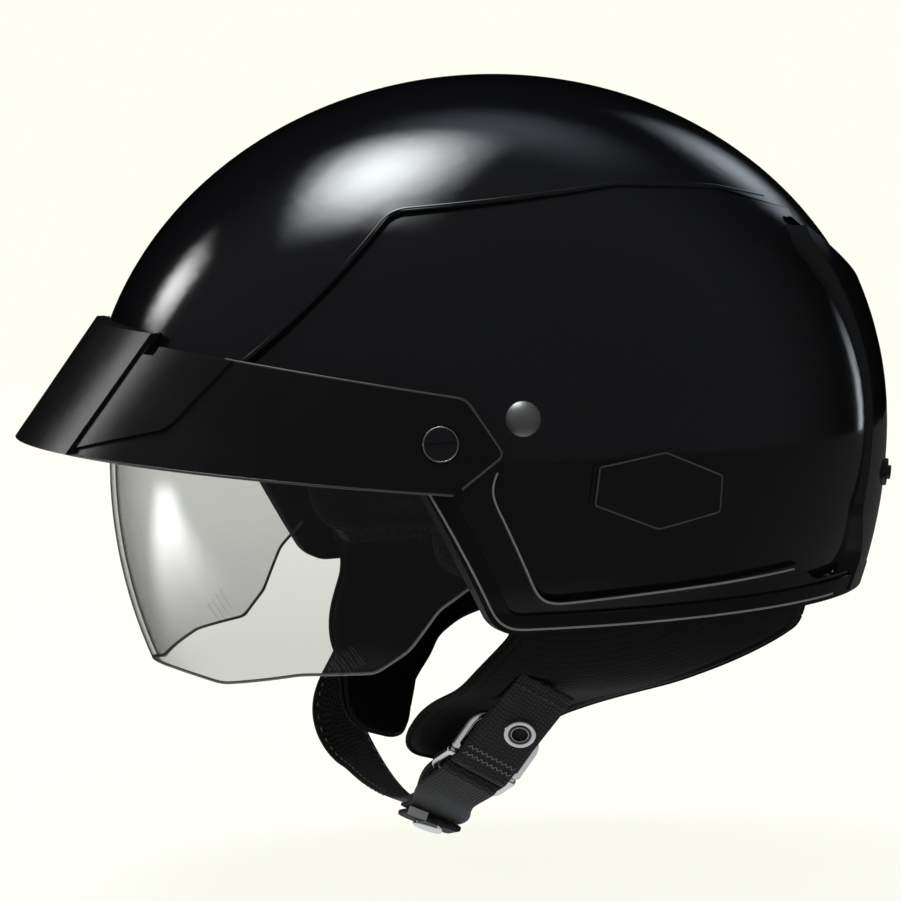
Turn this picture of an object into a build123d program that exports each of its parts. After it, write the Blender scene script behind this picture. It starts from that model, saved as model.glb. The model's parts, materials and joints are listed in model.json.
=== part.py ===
from build123d import *
from math import cos, radians, sin, sqrt
import os

# Half shell motorcycle helmet, in millimetres.
# The face looks along -Y, the wearer's left is +X and the crown is +Z.
# The origin is the centre of the dome, inside the head, on the middle plane.

# Dome of the shell, an ellipsoid about the origin
dome_half_width = 119
dome_half_length = 148
dome_half_height = 128
shell_wall = 4

# Side panels, a step below the crown panel and set back, so that the step fades out towards the rear
crown_step = 1.3
crown_step_shift = 2.2
crease_corner = 8

# Lower band and rear panel, which stand proud of the dome and hang more steeply
band_proud = 1.6
band_tuck = 3
band_tail = 1.5
band_drop = 37
band_corner = 9
rear_proud = 2.5
rear_rise = 10
rear_corner = 10
ramp_corner = 2

# Edge of the shell in side view: the rim, the opening and the brow
rim_rear = -57
rim_front = -60.5
opening_low = -35
opening_high = -66
brow_side = -4
brow_front = 0
edge_corner = 12

# Rubber edge trim
trim_wall = 1.1
trim_reach = 6

# Clearance between curved walls that seat on each other, and the overrun of all cuts
seat_gap = 0.3
reach = 240

# Foam liner, with the hollow for the head and the pocket that the sun shield slides up into
liner_inset = 9
liner_side = 44
liner_ends = 49
liner_crown = 36
pad_room = 9
pocket_side = 26.5
pocket_ends = 18
pocket_low_angle = 62
pocket_high_angle = 60
pocket_corner = 6
pivot_room = 30.5

# Comfort pads, thick in the middle and thinner towards their edges
pad_thick_gap = 1
pad_thin_gap = 6
pad_corner = 18

# Peak, a cone between two ellipses, wrapped round the brow
peak_wall = 2.6
peak_top = 50
peak_top_side_tuck = 4.8
peak_top_front_tuck = 11.8
peak_bottom = -14
peak_side_flare = 7.1
peak_overhang = 35.8
peak_corner = 4
peak_field_rise = 1.2
peak_tab_rise = 2.6
peak_tab_top = 41.7
peak_tab_corner = 2.5
peak_field_corner = 5
peak_slot_inner = 33.5
peak_slot_outer = 39
peak_slot_floor = 34.5
peak_lip = 1.3
clip_wall = 1
clip_half_width = 38.5
clip_low = 29.5
clip_high = 40.1

# Screws that hold the peak
screw_y = -60
screw_z = 8
screw_head_radius = 6.2
screw_head_height = 1.9
screw_slot_width = 1.4
screw_slot_depth = 1.1
screw_shank_radius = 2.5
spot_face_radius = 6.9
spot_face_depth = 1.3
screw_pad_radius = 8
nut_radius = 5.5
nut_height = 2.2
nut_foot = 1.2
shank_gap = 0.2
screw_overrun = 0.6

# Rivets that hold the chin strap
rivet_y = -29.4
rivet_z = 15.8
rivet_head_radius = 6.2
rivet_head_height = 2.6
rivet_shank_radius = 2
rivet_end_radius = 3.2
rivet_end_height = 0.8
washer_radius = 6.5
washer_height = 1

# Sun shield, part of an ellipsoid shell, and the pivots that it turns on
shield_wall = 2
shield_side_tuck = 14
shield_front_reach = 27
shield_centre_y = 33
shield_centre_z = -10
shield_corner = 3
ridge_count = 4
ridge_length = 9
ridge_width = 1
ridge_height = 0.7
ridge_root = 0.5
ridge_pitch = 2.5
ridge_y = -80
ridge_z = -73
ridge_angle = 35
pivot_y = 24
pivot_z = -25
hub_radius = 11
hub_outer_x = 105.4
hub_inner_x = 102
spigot_radius = 4
running_gap = 0.05
side_play = 0.3
boss_radius = 9
pivot_washer_radius = 7
pivot_washer_height = 0.8
pivot_head_radius = 5
pivot_head_height = 2.2
pivot_slot_width = 1.2
pivot_slot_depth = 1
pivot_screw_radius = 2
pivot_screw_length = 9

# Rear snap, rear vents and side badges
snap_x = 47
snap_z = -17.7
snap_radius = 5
snap_rim_height = 1.2
snap_stud_radius = 2.6
snap_height = 2.5
snap_seat_depth = 0.4
vent_x = 56
vent_y = 99.5
vent_length = 21
vent_height = 5.5
vent_depth = 2.2
vent_tilt = 6
vent_bars = 3
vent_bar_width = 1.3
vent_bar_pitch = 3.6
vent_bar_height = 1.3
vent_floor = 0.5
badge_gap = 0.1
badge_height = 1.5
badge_bevel = 1.4
badge_corner = 1

# Ear flaps, cut from padded sheet that leans in under the jaw
flap_half_width = 99.5
flap_half_length = 125
flap_thickness = 5
flap_corner = 3
flap_front_y = -60
flap_middle_y = 15
flap_rear_y = 106

# Chin strap, its hanger inside the shell and the two rings of its buckle
webbing_width = 22
webbing_thickness = 1.8
hanger_thickness = 1.6
ring_wire = 2.6
ring_edge = 0.7
ring_inner_width = 23.4
ring_inner_depth = 14
ring_corner = 5
ring_tilt = 30
ring_upper_tilt = 8
ring_play = 3
bar_gap = 0.3
bar_spacing = 0.8
fold_return = 25
seam_overlap = 2
tail_gap = 1
tail_lead = 8
strap_steps = 22
chin_middle_share = 0.6
tail_start_share = 0.84
tail_end_share = 0.68
tail_steps = 12

# Snap on the strap, the stud that keeps its tail, and the plain tab at the end
socket_rise = 22
socket_across = 2.5
socket_radius = 5.8
socket_bore = 3
socket_height = 1.5
socket_edge = 0.5
stud_radius = 5.6
stud_height = 1.8
hem_length = 11
hem_height = 3
tab_width = 7.5
tab_wall = 0.8

# Outlines in side view, as shares of the dome's half length and half height
crease_shares = ((-1.62, -0.156), (-0.797, 0.25), (-0.426, 0.672), (0.135, 0.734), (0.405, 0.711),
                 (1.62, 0.313), (1.62, -1.875), (-1.62, -1.875))
band_shares = ((1.62, -0.391), (0.635, -0.398), (0.581, -0.34), (-0.142, -0.398), (-0.291, -0.063),
               (-0.243, 0.055), (-0.473, 0.156), (-1.62, 0.188), (-1.62, -1.875), (1.62, -1.875))
ramp_shares = ((0, 1.12), (0.92, 0.392), (1, 0.25), (1.62, -0.85), (1.62, -1.875), (0, -1.875))
peak_shares = ((-0.257, 0.031), (-0.338, 0.182), (-1.62, 0.422), (-1.62, 0.039), (-0.382, -0.073))
shield_low_shares = ((-1.62, -0.617), (-0.851, -0.633), (-0.77, -0.66), (-0.628, -0.617), (-0.473, -0.605),
                     (-0.405, -0.539), (-0.345, -0.422), (-0.27, -0.352))
shield_high_shares = ((-0.203, -0.012), (-0.338, 0.039), (-1.62, 0.031))
flap_shares = ((-0.155, -0.3), (-0.165, -0.5), (-0.225, -0.61), (-0.288, -0.784), (-0.296, -0.85),
               (-0.275, -0.893), (-0.1, -0.945), (-0.045, -0.925), (0, -0.84), (0.067, -0.78),
               (0.151, -0.745), (0.388, -0.66), (0.715, -0.56), (0.715, -0.3))
badge_shares = ((-0.03, -0.008), (0.153, 0.026), (0.321, -0.055), (0.318, -0.164), (0.14, -0.203),
                (-0.041, -0.121))
lip_shares = ((-0.47, 0.207), (-1.62, 0.422), (-1.62, 0.398), (-0.47, 0.183))
hanger_shares = ((-0.264, 0.188), (-0.135, 0.188), (-0.027, -0.43), (-0.176, -0.43))
side_pad_shares = ((-0.324, -0.375), (0.351, -0.375), (0.351, 0.188), (-0.324, 0.188))

# Outlines in front view, as shares of the dome's half width and half height, right half only
rear_shares = ((0.521, -0.703), (0.521, -0.359), (0.605, -0.219), (0.571, 0.156), (0.546, 0.61))
field_shares = ((0.202, -0.156), (0.218, 0.003), (0.521, 0.086), (0.571, 0.266), (0.605, 0.469))
tab_shares = ((0.252, -0.156), (0.278, 0.469))
brow_pad_shares = ((0.437, 0.031), (0.437, 0.328))
nape_pad_shares = ((0.42, -0.375), (0.42, -0.063))

# Outline of the crown pad in plan, as shares of the dome's half width and half length
crown_pad_shares = ((0.42, -0.405), (0.42, 0.405))

# Ear flap from top to tip: height, inward lean and slant, as shares of the dome's half height,
# the flap's half width and the flap's thickness
flap_section_shares = ((-0.3, 0, 1), (-0.41, 0, 1), (-0.5, 0.04, 1.1), (-0.625, 0.15, 1.4),
                       (-0.6875, 0.256, 1.6), (-0.75, 0.43, 1.7), (-0.844, 0.558, 1.6), (-0.969, 0.729, 1.4))

# Chin strap: where the left piece leaves the flap and folds, and the right piece's way under the chin,
# as shares of the dome's half width, half length and half height
seam_shares = (0.672, -0.057, -0.672)
fold_shares = (0.479, -0.162, -0.922)
chin_shares = ((-0.723, -0.108, -0.68), (-0.622, -0.182, -0.79), (-0.521, -0.25, -0.915),
               (-0.45, -0.21, -1.025), (-0.35, -0.185, -1.08), (-0.235, -0.165, -1.105),
               (-0.067, -0.15, -1.105), (0.118, -0.153, -1.06))

# Directions across the chin strap: at the buckle, at the far flap and below the chin, and along a rear vent
buckle_across = (0.094, 0.866, -0.492)
far_across = (-0.127, 0.861, -0.492)
chin_across = (0.1, 0.93, -0.35)
vent_along = (-0.36, 0.79, -0.49)


def outline(shares, half_across, half_up):
    """Points of an outline from shares of two half sizes."""
    return [(across * half_across, up * half_up) for across, up in shares]


def both_halves(points):
    """A closed outline from its right half, drawn upwards."""
    return points + [(-across, up) for across, up in reversed(points)]


def front_points(shares):
    """A closed outline in front view, from the shares of its right half."""
    return both_halves(outline(shares, dome_half_width, dome_half_height))


def side_points(shares):
    """An outline in side view, from its shares."""
    return outline(shares, dome_half_length, dome_half_height)


def place(shares):
    """A place in the helmet, from its shares of the dome's three half sizes."""
    return Vector(shares[0] * dome_half_width, shares[1] * dome_half_length, shares[2] * dome_half_height)


def ellipsoid(half_x, half_y, half_z):
    """Solid ellipsoid about the origin: a unit ball stretched to three half sizes."""
    with BuildPart() as ball:
        Sphere(1)
    return scale(ball.part, by=(half_x, half_y, half_z))


def dome(depth):
    """Everything inside the dome's outer face less a depth."""
    return ellipsoid(dome_half_width - depth, dome_half_length - depth, dome_half_height - depth)


def side_skin(depth):
    """Everything inside the recessed side panels' face less a depth."""
    return dome(crown_step + depth).moved(Location((0, crown_step_shift, 0)))


def below_centre(solid):
    """The part of a solid below the dome's centre."""
    with BuildPart() as half:
        add(solid)
        with BuildSketch():
            Rectangle(2 * reach, 2 * reach)
        extrude(amount=-reach, mode=Mode.INTERSECT)
    return half.part


def flare(depth):
    """Lower half of the band's own ellipsoid, less a depth."""
    half_width = dome_half_width - band_tuck - depth
    half_length = dome_half_length + band_tail - depth
    return below_centre(ellipsoid(half_width, half_length, dome_half_height + band_drop - depth))


def band_skin(depth):
    """Everything inside the lower band's face less a depth."""
    steep = flare(depth)
    proud = dome(depth - band_proud)
    with BuildPart() as skin:
        add(proud)
        add(steep)
    return skin.part


def hollow(depth):
    """Everything inside the shell at a depth: the dome above and the band's flare below."""
    steep = flare(depth)
    plain = dome(depth)
    with BuildPart() as space:
        add(plain)
        add(steep)
    return space.part


def head_room(grow_x, grow_y, grow_z):
    """The head's own ellipsoid, grown by three amounts."""
    half_width = dome_half_width - liner_side + grow_x
    half_length = dome_half_length - liner_ends + grow_y
    return ellipsoid(half_width, half_length, dome_half_height - liner_crown + grow_z)


def shield_skin(depth):
    """Everything inside the sun shield's face less a depth."""
    half_width = dome_half_width - shield_side_tuck - depth
    half_length = dome_half_length + shield_front_reach - depth
    whole = ellipsoid(half_width, half_length, half_length)
    return whole.moved(Location((0, shield_centre_y, shield_centre_z)))


def peak_cone(depth):
    """Everything inside the peak's face less a depth."""
    with BuildPart() as cone:
        with BuildSketch(Plane.XY.offset(peak_top)):
            Ellipse(dome_half_width - peak_top_side_tuck - depth,
                    dome_half_length - peak_top_front_tuck - depth)
        with BuildSketch(Plane.XY.offset(peak_bottom)):
            Ellipse(dome_half_width + peak_side_flare - depth, dome_half_length + peak_overhang - depth)
        loft()
    return cone.part


def side_prism(points, corner, grow=0, left_only=False):
    """An outline drawn in side view, rounded, grown and carried across the helmet or to its left side only."""
    with BuildPart() as prism:
        with BuildSketch(Plane.YZ):
            with BuildLine():
                FilletPolyline(*points, radius=corner, close=True)
            make_face()
            if grow:
                offset(amount=grow)
        extrude(amount=reach, both=not left_only)
    return prism.part


def front_prism(points, corner, rearwards):
    """An outline drawn in front view, rounded and carried forwards or rearwards from the middle."""
    with BuildPart() as prism:
        with BuildSketch(Plane.XZ):
            with BuildLine():
                FilletPolyline(*points, radius=corner, close=True)
            make_face()
        extrude(amount=-reach if rearwards else reach)
    return prism.part


def depth_along(plane, half_x, half_y, half_z, shift=0):
    """Distance from a plane's origin, against its normal, to an ellipsoid's face, its centre shifted in Y."""
    start = plane.origin
    way = plane.z_dir * -1
    a = (way.X / half_x) ** 2 + (way.Y / half_y) ** 2 + (way.Z / half_z) ** 2
    y = start.Y - shift
    b = start.X * way.X / half_x**2 + y * way.Y / half_y**2 + start.Z * way.Z / half_z**2
    c = (start.X / half_x) ** 2 + (y / half_y) ** 2 + (start.Z / half_z) ** 2 - 1
    return (-b - sqrt(b * b - a * c)) / a


os.makedirs("parts", exist_ok=True)

# Seats of the strap rivets on the side panels
side_half_width = dome_half_width - crown_step
side_half_length = dome_half_length - crown_step
side_half_height = dome_half_height - crown_step
rivet_run = (rivet_y - crown_step_shift) / side_half_length
rivet_x = side_half_width * sqrt(1 - rivet_run**2 - (rivet_z / side_half_height) ** 2)
rivet_normal = (rivet_x / side_half_width**2, rivet_run / side_half_length, rivet_z / side_half_height**2)
rivet_plane = Plane(origin=(rivet_x, rivet_y, rivet_z), x_dir=(0, 1, 0), z_dir=rivet_normal)

# Seats of the peak screws on the peak's cone
screw_share = (peak_top - screw_z) / (peak_top - peak_bottom)
cone_half_width = dome_half_width - peak_top_side_tuck + screw_share * (peak_top_side_tuck + peak_side_flare)
cone_half_length = dome_half_length - peak_top_front_tuck + screw_share * (peak_top_front_tuck + peak_overhang)
screw_x = cone_half_width * sqrt(1 - (screw_y / cone_half_length) ** 2)
side_slope = (peak_top_side_tuck + peak_side_flare) / (peak_top - peak_bottom)
front_slope = (peak_top_front_tuck + peak_overhang) / (peak_top - peak_bottom)
screw_rise = screw_x**2 * side_slope / cone_half_width**3 + screw_y**2 * front_slope / cone_half_length**3
screw_normal = (screw_x / cone_half_width**2, screw_y / cone_half_length**2, screw_rise)
screw_plane = Plane(origin=(screw_x, screw_y, screw_z), x_dir=(0, 1, 0), z_dir=screw_normal)
screw_seat = screw_plane.offset(-spot_face_depth)
screw_depth = depth_along(screw_plane, dome_half_width - shell_wall, dome_half_length - shell_wall,
                          dome_half_height - shell_wall)

# Outer shell: the dome, with stepped side panels, a proud lower band and a proud rear panel
side_region = side_prism(side_points(crease_shares), crease_corner)
side_face = side_skin(0)
with BuildPart() as side_recess:
    add(side_region)
    add(side_face, mode=Mode.SUBTRACT)

band_region = side_prism(side_points(band_shares), band_corner)
band_face = band_skin(0)
with BuildPart() as lower_band:
    add(band_face)
    add(band_region, mode=Mode.INTERSECT)

rear_length = dome_half_length + band_tail
rear_high = ellipsoid(dome_half_width + rear_proud, rear_length, dome_half_height + rear_rise)
rear_low = below_centre(ellipsoid(dome_half_width + rear_proud, rear_length, dome_half_height + band_drop))
rear_region = front_prism(front_points(rear_shares), rear_corner, True)
rear_ramp = side_prism(side_points(ramp_shares), ramp_corner)
with BuildPart() as rear_panel:
    add(rear_high)
    add(rear_low)
    add(rear_region, mode=Mode.INTERSECT)
    add(rear_ramp, mode=Mode.INTERSECT)

snap_wide = dome_half_width + rear_proud
snap_high = dome_half_height + band_drop
snap_y = rear_length * sqrt(1 - (snap_x / snap_wide) ** 2 - (snap_z / snap_high) ** 2)
snap_plane = Plane(origin=(snap_x, snap_y, snap_z), x_dir=(0, 0, 1),
                   z_dir=(snap_x / snap_wide**2, snap_y / rear_length**2, snap_z / snap_high**2))
snap_seat = snap_plane.offset(-snap_seat_depth)

# Seats of the rear vents: scoops that get deeper towards the back
vent_z = dome_half_height * sqrt(1 - (vent_x / dome_half_width) ** 2 - (vent_y / dome_half_length) ** 2)
vent_plane = Plane(origin=(vent_x, vent_y, vent_z), x_dir=vent_along,
                   z_dir=(vent_x / dome_half_width**2, vent_y / dome_half_length**2,
                          vent_z / dome_half_height**2))
vent_seat = vent_plane.offset(-vent_depth).rotated((0, vent_tilt, 0))

edge_points = ((reach, rim_rear), (opening_low, rim_front), (opening_high, brow_side),
               (-reach, brow_front), (-reach, reach), (reach, reach))
whole_dome = dome(0)
inside = hollow(shell_wall)
covered = side_prism(edge_points, edge_corner)
with BuildPart() as outer_shell:
    add(whole_dome)
    add(side_recess.part, mode=Mode.SUBTRACT)
    add(lower_band.part)
    add(rear_panel.part)
    add(inside, mode=Mode.SUBTRACT)
    add(covered, mode=Mode.INTERSECT)
    with BuildSketch(rivet_plane):
        Circle(rivet_shank_radius + shank_gap)
    extrude(amount=2 * shell_wall, both=True, mode=Mode.SUBTRACT)
    with BuildSketch(screw_plane):
        Circle(screw_shank_radius + shank_gap)
    extrude(amount=4 * shell_wall, both=True, mode=Mode.SUBTRACT)
    with BuildSketch(vent_seat):
        SlotOverall(vent_length, vent_height)
    extrude(amount=2 * shell_wall, mode=Mode.SUBTRACT)
    with BuildSketch(snap_seat):
        Circle(snap_radius + shank_gap)
    extrude(amount=shell_wall, mode=Mode.SUBTRACT)
    split(bisect_by=Plane.YZ)
    mirror(about=Plane.YZ)
outer_shell.part.label = "outer_shell"
export_step(outer_shell.part, "parts/outer_shell.step")

# Rubber trim: a U section that wraps the shell's edge all round
trim_outside = band_skin(-trim_wall)
trim_inside = hollow(shell_wall + trim_wall)
trim_limit = side_prism(edge_points, edge_corner, trim_wall)
trim_inner = side_prism(edge_points, edge_corner, -trim_reach)
with BuildPart() as edge_trim:
    add(trim_outside)
    add(trim_limit, mode=Mode.INTERSECT)
    add(trim_inside, mode=Mode.SUBTRACT)
    add(trim_inner, mode=Mode.SUBTRACT)
    add(outer_shell.part, mode=Mode.SUBTRACT)
edge_trim.part.label = "edge_trim"
export_step(edge_trim.part, "parts/edge_trim.step")

# Foam liner: a thick dome with a pocket over each side for the sun shield
liner_outside = dome(shell_wall + seat_gap)
liner_inside = head_room(pad_room, pad_room, pad_room)
liner_limit = side_prism(edge_points, edge_corner, -liner_inset)
low_angle = radians(pocket_low_angle)
high_angle = radians(pocket_high_angle)
pocket_points = ((pivot_y, pivot_z), (pivot_y - reach * cos(low_angle), pivot_z - reach * sin(low_angle)),
                 (-2 * reach, pivot_z), (pivot_y - reach * cos(high_angle), pivot_z + reach * sin(high_angle)))
pocket_region = side_prism(pocket_points, pocket_corner)
pocket_floor = ellipsoid(dome_half_width - pocket_side, dome_half_length - pocket_ends,
                         dome_half_height - pocket_ends)
with BuildPart() as shield_pocket:
    add(pocket_region)
    with BuildSketch(Plane.YZ):
        with Locations((pivot_y, pivot_z)):
            Circle(pivot_room)
    extrude(amount=reach, both=True)
    add(pocket_floor, mode=Mode.SUBTRACT)
with BuildPart() as eps_liner:
    add(liner_outside)
    add(liner_limit, mode=Mode.INTERSECT)
    add(liner_inside, mode=Mode.SUBTRACT)
    add(shield_pocket.part, mode=Mode.SUBTRACT)
eps_liner.part.label = "eps_liner"
export_step(eps_liner.part, "parts/eps_liner.step")

# Comfort pads on the liner: crown, brow, nape and one on each side
pad_back = head_room(pad_room - seat_gap, pad_room - seat_gap, pad_room - seat_gap)
crown_face = head_room(pad_thin_gap, pad_thin_gap, pad_thick_gap)
with BuildPart() as crown_pad:
    add(pad_back)
    add(crown_face, mode=Mode.SUBTRACT)
    with BuildSketch():
        with BuildLine():
            FilletPolyline(*both_halves(outline(crown_pad_shares, dome_half_width, dome_half_length)),
                           radius=pad_corner, close=True)
        make_face()
    extrude(amount=reach, mode=Mode.INTERSECT)
crown_pad.part.label = "crown_pad"
export_step(crown_pad.part, "parts/crown_pad.step")

ends_face = head_room(pad_thin_gap, pad_thick_gap, pad_thin_gap)
brow_region = front_prism(front_points(brow_pad_shares), pad_corner, False)
with BuildPart() as brow_pad:
    add(pad_back)
    add(ends_face, mode=Mode.SUBTRACT)
    add(brow_region, mode=Mode.INTERSECT)
brow_pad.part.label = "brow_pad"
export_step(brow_pad.part, "parts/brow_pad.step")

nape_region = front_prism(front_points(nape_pad_shares), pad_corner, True)
with BuildPart() as nape_pad:
    add(pad_back)
    add(ends_face, mode=Mode.SUBTRACT)
    add(nape_region, mode=Mode.INTERSECT)
nape_pad.part.label = "nape_pad"
export_step(nape_pad.part, "parts/nape_pad.step")

side_face_pad = head_room(pad_thick_gap, pad_thin_gap, pad_thin_gap)
side_pad_region = side_prism(side_points(side_pad_shares), pad_corner, left_only=True)
with BuildPart() as side_pad_left:
    add(pad_back)
    add(side_face_pad, mode=Mode.SUBTRACT)
    add(side_pad_region, mode=Mode.INTERSECT)

# Sun shield: a thin ellipsoid shell that narrows to an arm and a hub on each side
shield_points = (side_points(shield_low_shares)
                 + [(pivot_y - hub_radius, pivot_z - hub_radius), (pivot_y, pivot_z - hub_radius),
                    (pivot_y, pivot_z + hub_radius)]
                 + side_points(shield_high_shares))
shield_region = side_prism(shield_points, shield_corner)
shield_outside = shield_skin(0)
shield_inside = shield_skin(shield_wall)
ridge_outside = shield_skin(-ridge_height)
ridge_inside = shield_skin(ridge_root)
with BuildPart() as grip_ridges:
    with BuildSketch(Plane.YZ):
        with Locations(Location((ridge_y, ridge_z), ridge_angle)):
            with GridLocations(ridge_pitch, 0, ridge_count, 1):
                SlotOverall(ridge_length, ridge_width, rotation=90)
    extrude(amount=reach, both=True)
    add(ridge_outside, mode=Mode.INTERSECT)
    add(ridge_inside, mode=Mode.SUBTRACT)
    add(shield_region, mode=Mode.INTERSECT)
with BuildPart() as sun_shield:
    add(shield_outside)
    add(shield_inside, mode=Mode.SUBTRACT)
    add(shield_region, mode=Mode.INTERSECT)
    add(grip_ridges.part)
    for side in (1, -1):
        hub_plane = Plane(origin=(side * hub_inner_x, pivot_y, pivot_z), x_dir=(0, 1, 0), z_dir=(side, 0, 0))
        with BuildSketch(hub_plane):
            Circle(hub_radius)
        extrude(amount=hub_outer_x - hub_inner_x)
        with BuildSketch(hub_plane):
            Circle(spigot_radius + running_gap)
        extrude(amount=hub_radius, both=True, mode=Mode.SUBTRACT)
sun_shield.part.label = "sun_shield"
export_step(sun_shield.part, "parts/sun_shield.step")

# Pivot of the sun shield: a boss inside the shell, with a spigot, washer and cross-slotted screw
boss_plane = Plane(origin=(hub_outer_x + side_play, pivot_y, pivot_z), x_dir=(0, 1, 0), z_dir=(1, 0, 0))
spigot_end = hub_outer_x - hub_inner_x + 2 * side_play
boss_seat = hollow(shell_wall + running_gap)
with BuildPart() as pivot_boss_left:
    with BuildSketch(boss_plane):
        Circle(boss_radius)
    extrude(amount=boss_radius * 2)
    add(boss_seat, mode=Mode.INTERSECT)
    with BuildSketch(boss_plane):
        Circle(spigot_radius)
    extrude(amount=-spigot_end)
    with BuildSketch(boss_plane.offset(-spigot_end)):
        Circle(pivot_screw_radius + running_gap)
    extrude(amount=pivot_screw_length - pivot_washer_height, mode=Mode.SUBTRACT)

with BuildPart() as pivot_washer_left:
    with BuildSketch(boss_plane.offset(-spigot_end)):
        Circle(pivot_washer_radius)
        Circle(pivot_screw_radius + running_gap, mode=Mode.SUBTRACT)
    extrude(amount=-pivot_washer_height)

pivot_seat = boss_plane.offset(-spigot_end - pivot_washer_height)
with BuildPart() as pivot_screw_left:
    with BuildSketch(pivot_seat):
        Circle(pivot_head_radius)
    extrude(amount=-pivot_head_height)
    fillet(pivot_screw_left.edges().sort_by(Axis.X)[:1], pivot_head_height / 3)
    with BuildSketch(pivot_seat.offset(-pivot_head_height)):
        Rectangle(pivot_head_radius, pivot_slot_width)
        Rectangle(pivot_slot_width, pivot_head_radius)
    extrude(amount=pivot_slot_depth, mode=Mode.SUBTRACT)
    with BuildSketch(pivot_seat):
        Circle(pivot_screw_radius)
    extrude(amount=pivot_screw_length - 2 * running_gap)

# Peak: a cone wall with a raised field, a raised centre tab and two slots beside the tab
peak_region = side_prism(side_points(peak_shares), peak_corner)
tab_side_points = ([(0, peak_tab_top), (-reach, peak_tab_top)]
                   + outline(peak_shares[3:], dome_half_length, dome_half_height) + [(0, peak_bottom)])
tab_side_region = side_prism(tab_side_points, peak_tab_corner)
field_region = front_prism(front_points(field_shares),
                           peak_field_corner, False)
tab_region = front_prism(front_points(tab_shares), peak_tab_corner, False)
cone_face = peak_cone(0)
field_face = peak_cone(-peak_field_rise)
tab_face = peak_cone(-peak_tab_rise)
cone_inside = peak_cone(peak_wall)
lip_face = peak_cone(peak_wall / 2)
shell_clear = dome(-band_proud - seat_gap)
lip_clear = dome(-seat_gap)
with BuildPart() as peak_field:
    add(field_face)
    add(field_region, mode=Mode.INTERSECT)
    add(peak_region, mode=Mode.INTERSECT)
with BuildPart() as peak_tab:
    add(tab_face)
    add(tab_region, mode=Mode.INTERSECT)
    add(tab_side_region, mode=Mode.INTERSECT)
with BuildPart() as peak_seat:
    with BuildSketch(Plane.YZ):
        with BuildLine():
            Polyline(*side_points(lip_shares), close=True)
        make_face()
    extrude(amount=reach, both=True)
    with BuildSketch(Plane.XZ):
        Rectangle(2 * clip_half_width, reach)
    extrude(amount=reach, mode=Mode.SUBTRACT)
    with BuildSketch(Plane.XZ):
        with Locations((0, peak_tab_top - peak_lip / 2)):
            Rectangle(2 * tab_shares[0][0] * dome_half_width, peak_lip)
    extrude(amount=reach)
    add(cone_face, mode=Mode.INTERSECT)
with BuildPart() as screw_pad:
    with BuildSketch(screw_plane):
        Circle(screw_pad_radius)
    extrude(amount=-screw_depth)
    mirror(about=Plane.YZ)
    add(lip_face, mode=Mode.INTERSECT)
    add(shell_clear, mode=Mode.SUBTRACT)
with BuildPart() as screw_cut:
    with BuildSketch(screw_seat):
        Circle(spot_face_radius)
    extrude(amount=2 * spot_face_depth)
    with BuildSketch(screw_seat):
        Circle(screw_shank_radius + shank_gap)
    extrude(amount=-screw_depth)
    mirror(about=Plane.YZ)
with BuildPart() as peak:
    add(cone_face)
    add(peak_region, mode=Mode.INTERSECT)
    add(peak_field.part)
    add(peak_tab.part)
    add(cone_inside, mode=Mode.SUBTRACT)
    add(shell_clear, mode=Mode.SUBTRACT)
    add(peak_seat.part)
    add(lip_clear, mode=Mode.SUBTRACT)
    add(screw_pad.part)
    with BuildSketch(Plane.XZ):
        with Locations(((peak_slot_inner + peak_slot_outer) / 2, peak_slot_floor + reach / 2)):
            Rectangle(peak_slot_outer - peak_slot_inner, reach)
        mirror(about=Plane.YZ)
    extrude(amount=reach, mode=Mode.SUBTRACT)
    add(screw_cut.part, mode=Mode.SUBTRACT)
peak.part.label = "peak"
export_step(peak.part, "parts/peak.step")

# Clip plate behind the peak's tab, seen through the two slots
clip_face = peak_cone(peak_wall + running_gap)
clip_inside = peak_cone(peak_wall + running_gap + clip_wall)
with BuildPart() as peak_clip:
    add(clip_face)
    add(clip_inside, mode=Mode.SUBTRACT)
    with BuildSketch(Plane.XZ):
        with Locations((0, (clip_low + clip_high) / 2)):
            Rectangle(2 * clip_half_width, clip_high - clip_low)
    extrude(amount=reach, mode=Mode.INTERSECT)
    add(shell_clear, mode=Mode.SUBTRACT)
peak_clip.part.label = "peak_clip"
export_step(peak_clip.part, "parts/peak_clip.step")

# Slotted screws of the peak and their nuts inside the shell
nut_seat = screw_plane.offset(-screw_depth - nut_foot)
with BuildPart() as peak_screw_left:
    with BuildSketch(screw_seat):
        Circle(screw_head_radius)
    extrude(amount=screw_head_height)
    fillet(peak_screw_left.edges().filter_by(GeomType.CIRCLE).sort_by(SortBy.DISTANCE)[-1:],
           screw_head_height / 4)
    with BuildSketch(screw_seat.offset(screw_head_height)):
        Rectangle(2 * screw_head_radius, screw_slot_width)
    extrude(amount=-screw_slot_depth, mode=Mode.SUBTRACT)
    with BuildSketch(screw_seat):
        Circle(screw_shank_radius)
    extrude(amount=-screw_depth + spot_face_depth - nut_foot - nut_height - screw_overrun)

with BuildPart() as peak_nut_left:
    with BuildSketch(nut_seat):
        Circle(nut_radius)
    extrude(amount=3 * nut_foot)
    add(boss_seat, mode=Mode.INTERSECT)
    with BuildSketch(nut_seat):
        RegularPolygon(nut_radius, 6)
    extrude(amount=-nut_height)
    with BuildSketch(nut_seat):
        Circle(screw_shank_radius + running_gap)
    extrude(amount=3 * nut_foot, both=True, mode=Mode.SUBTRACT)

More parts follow.
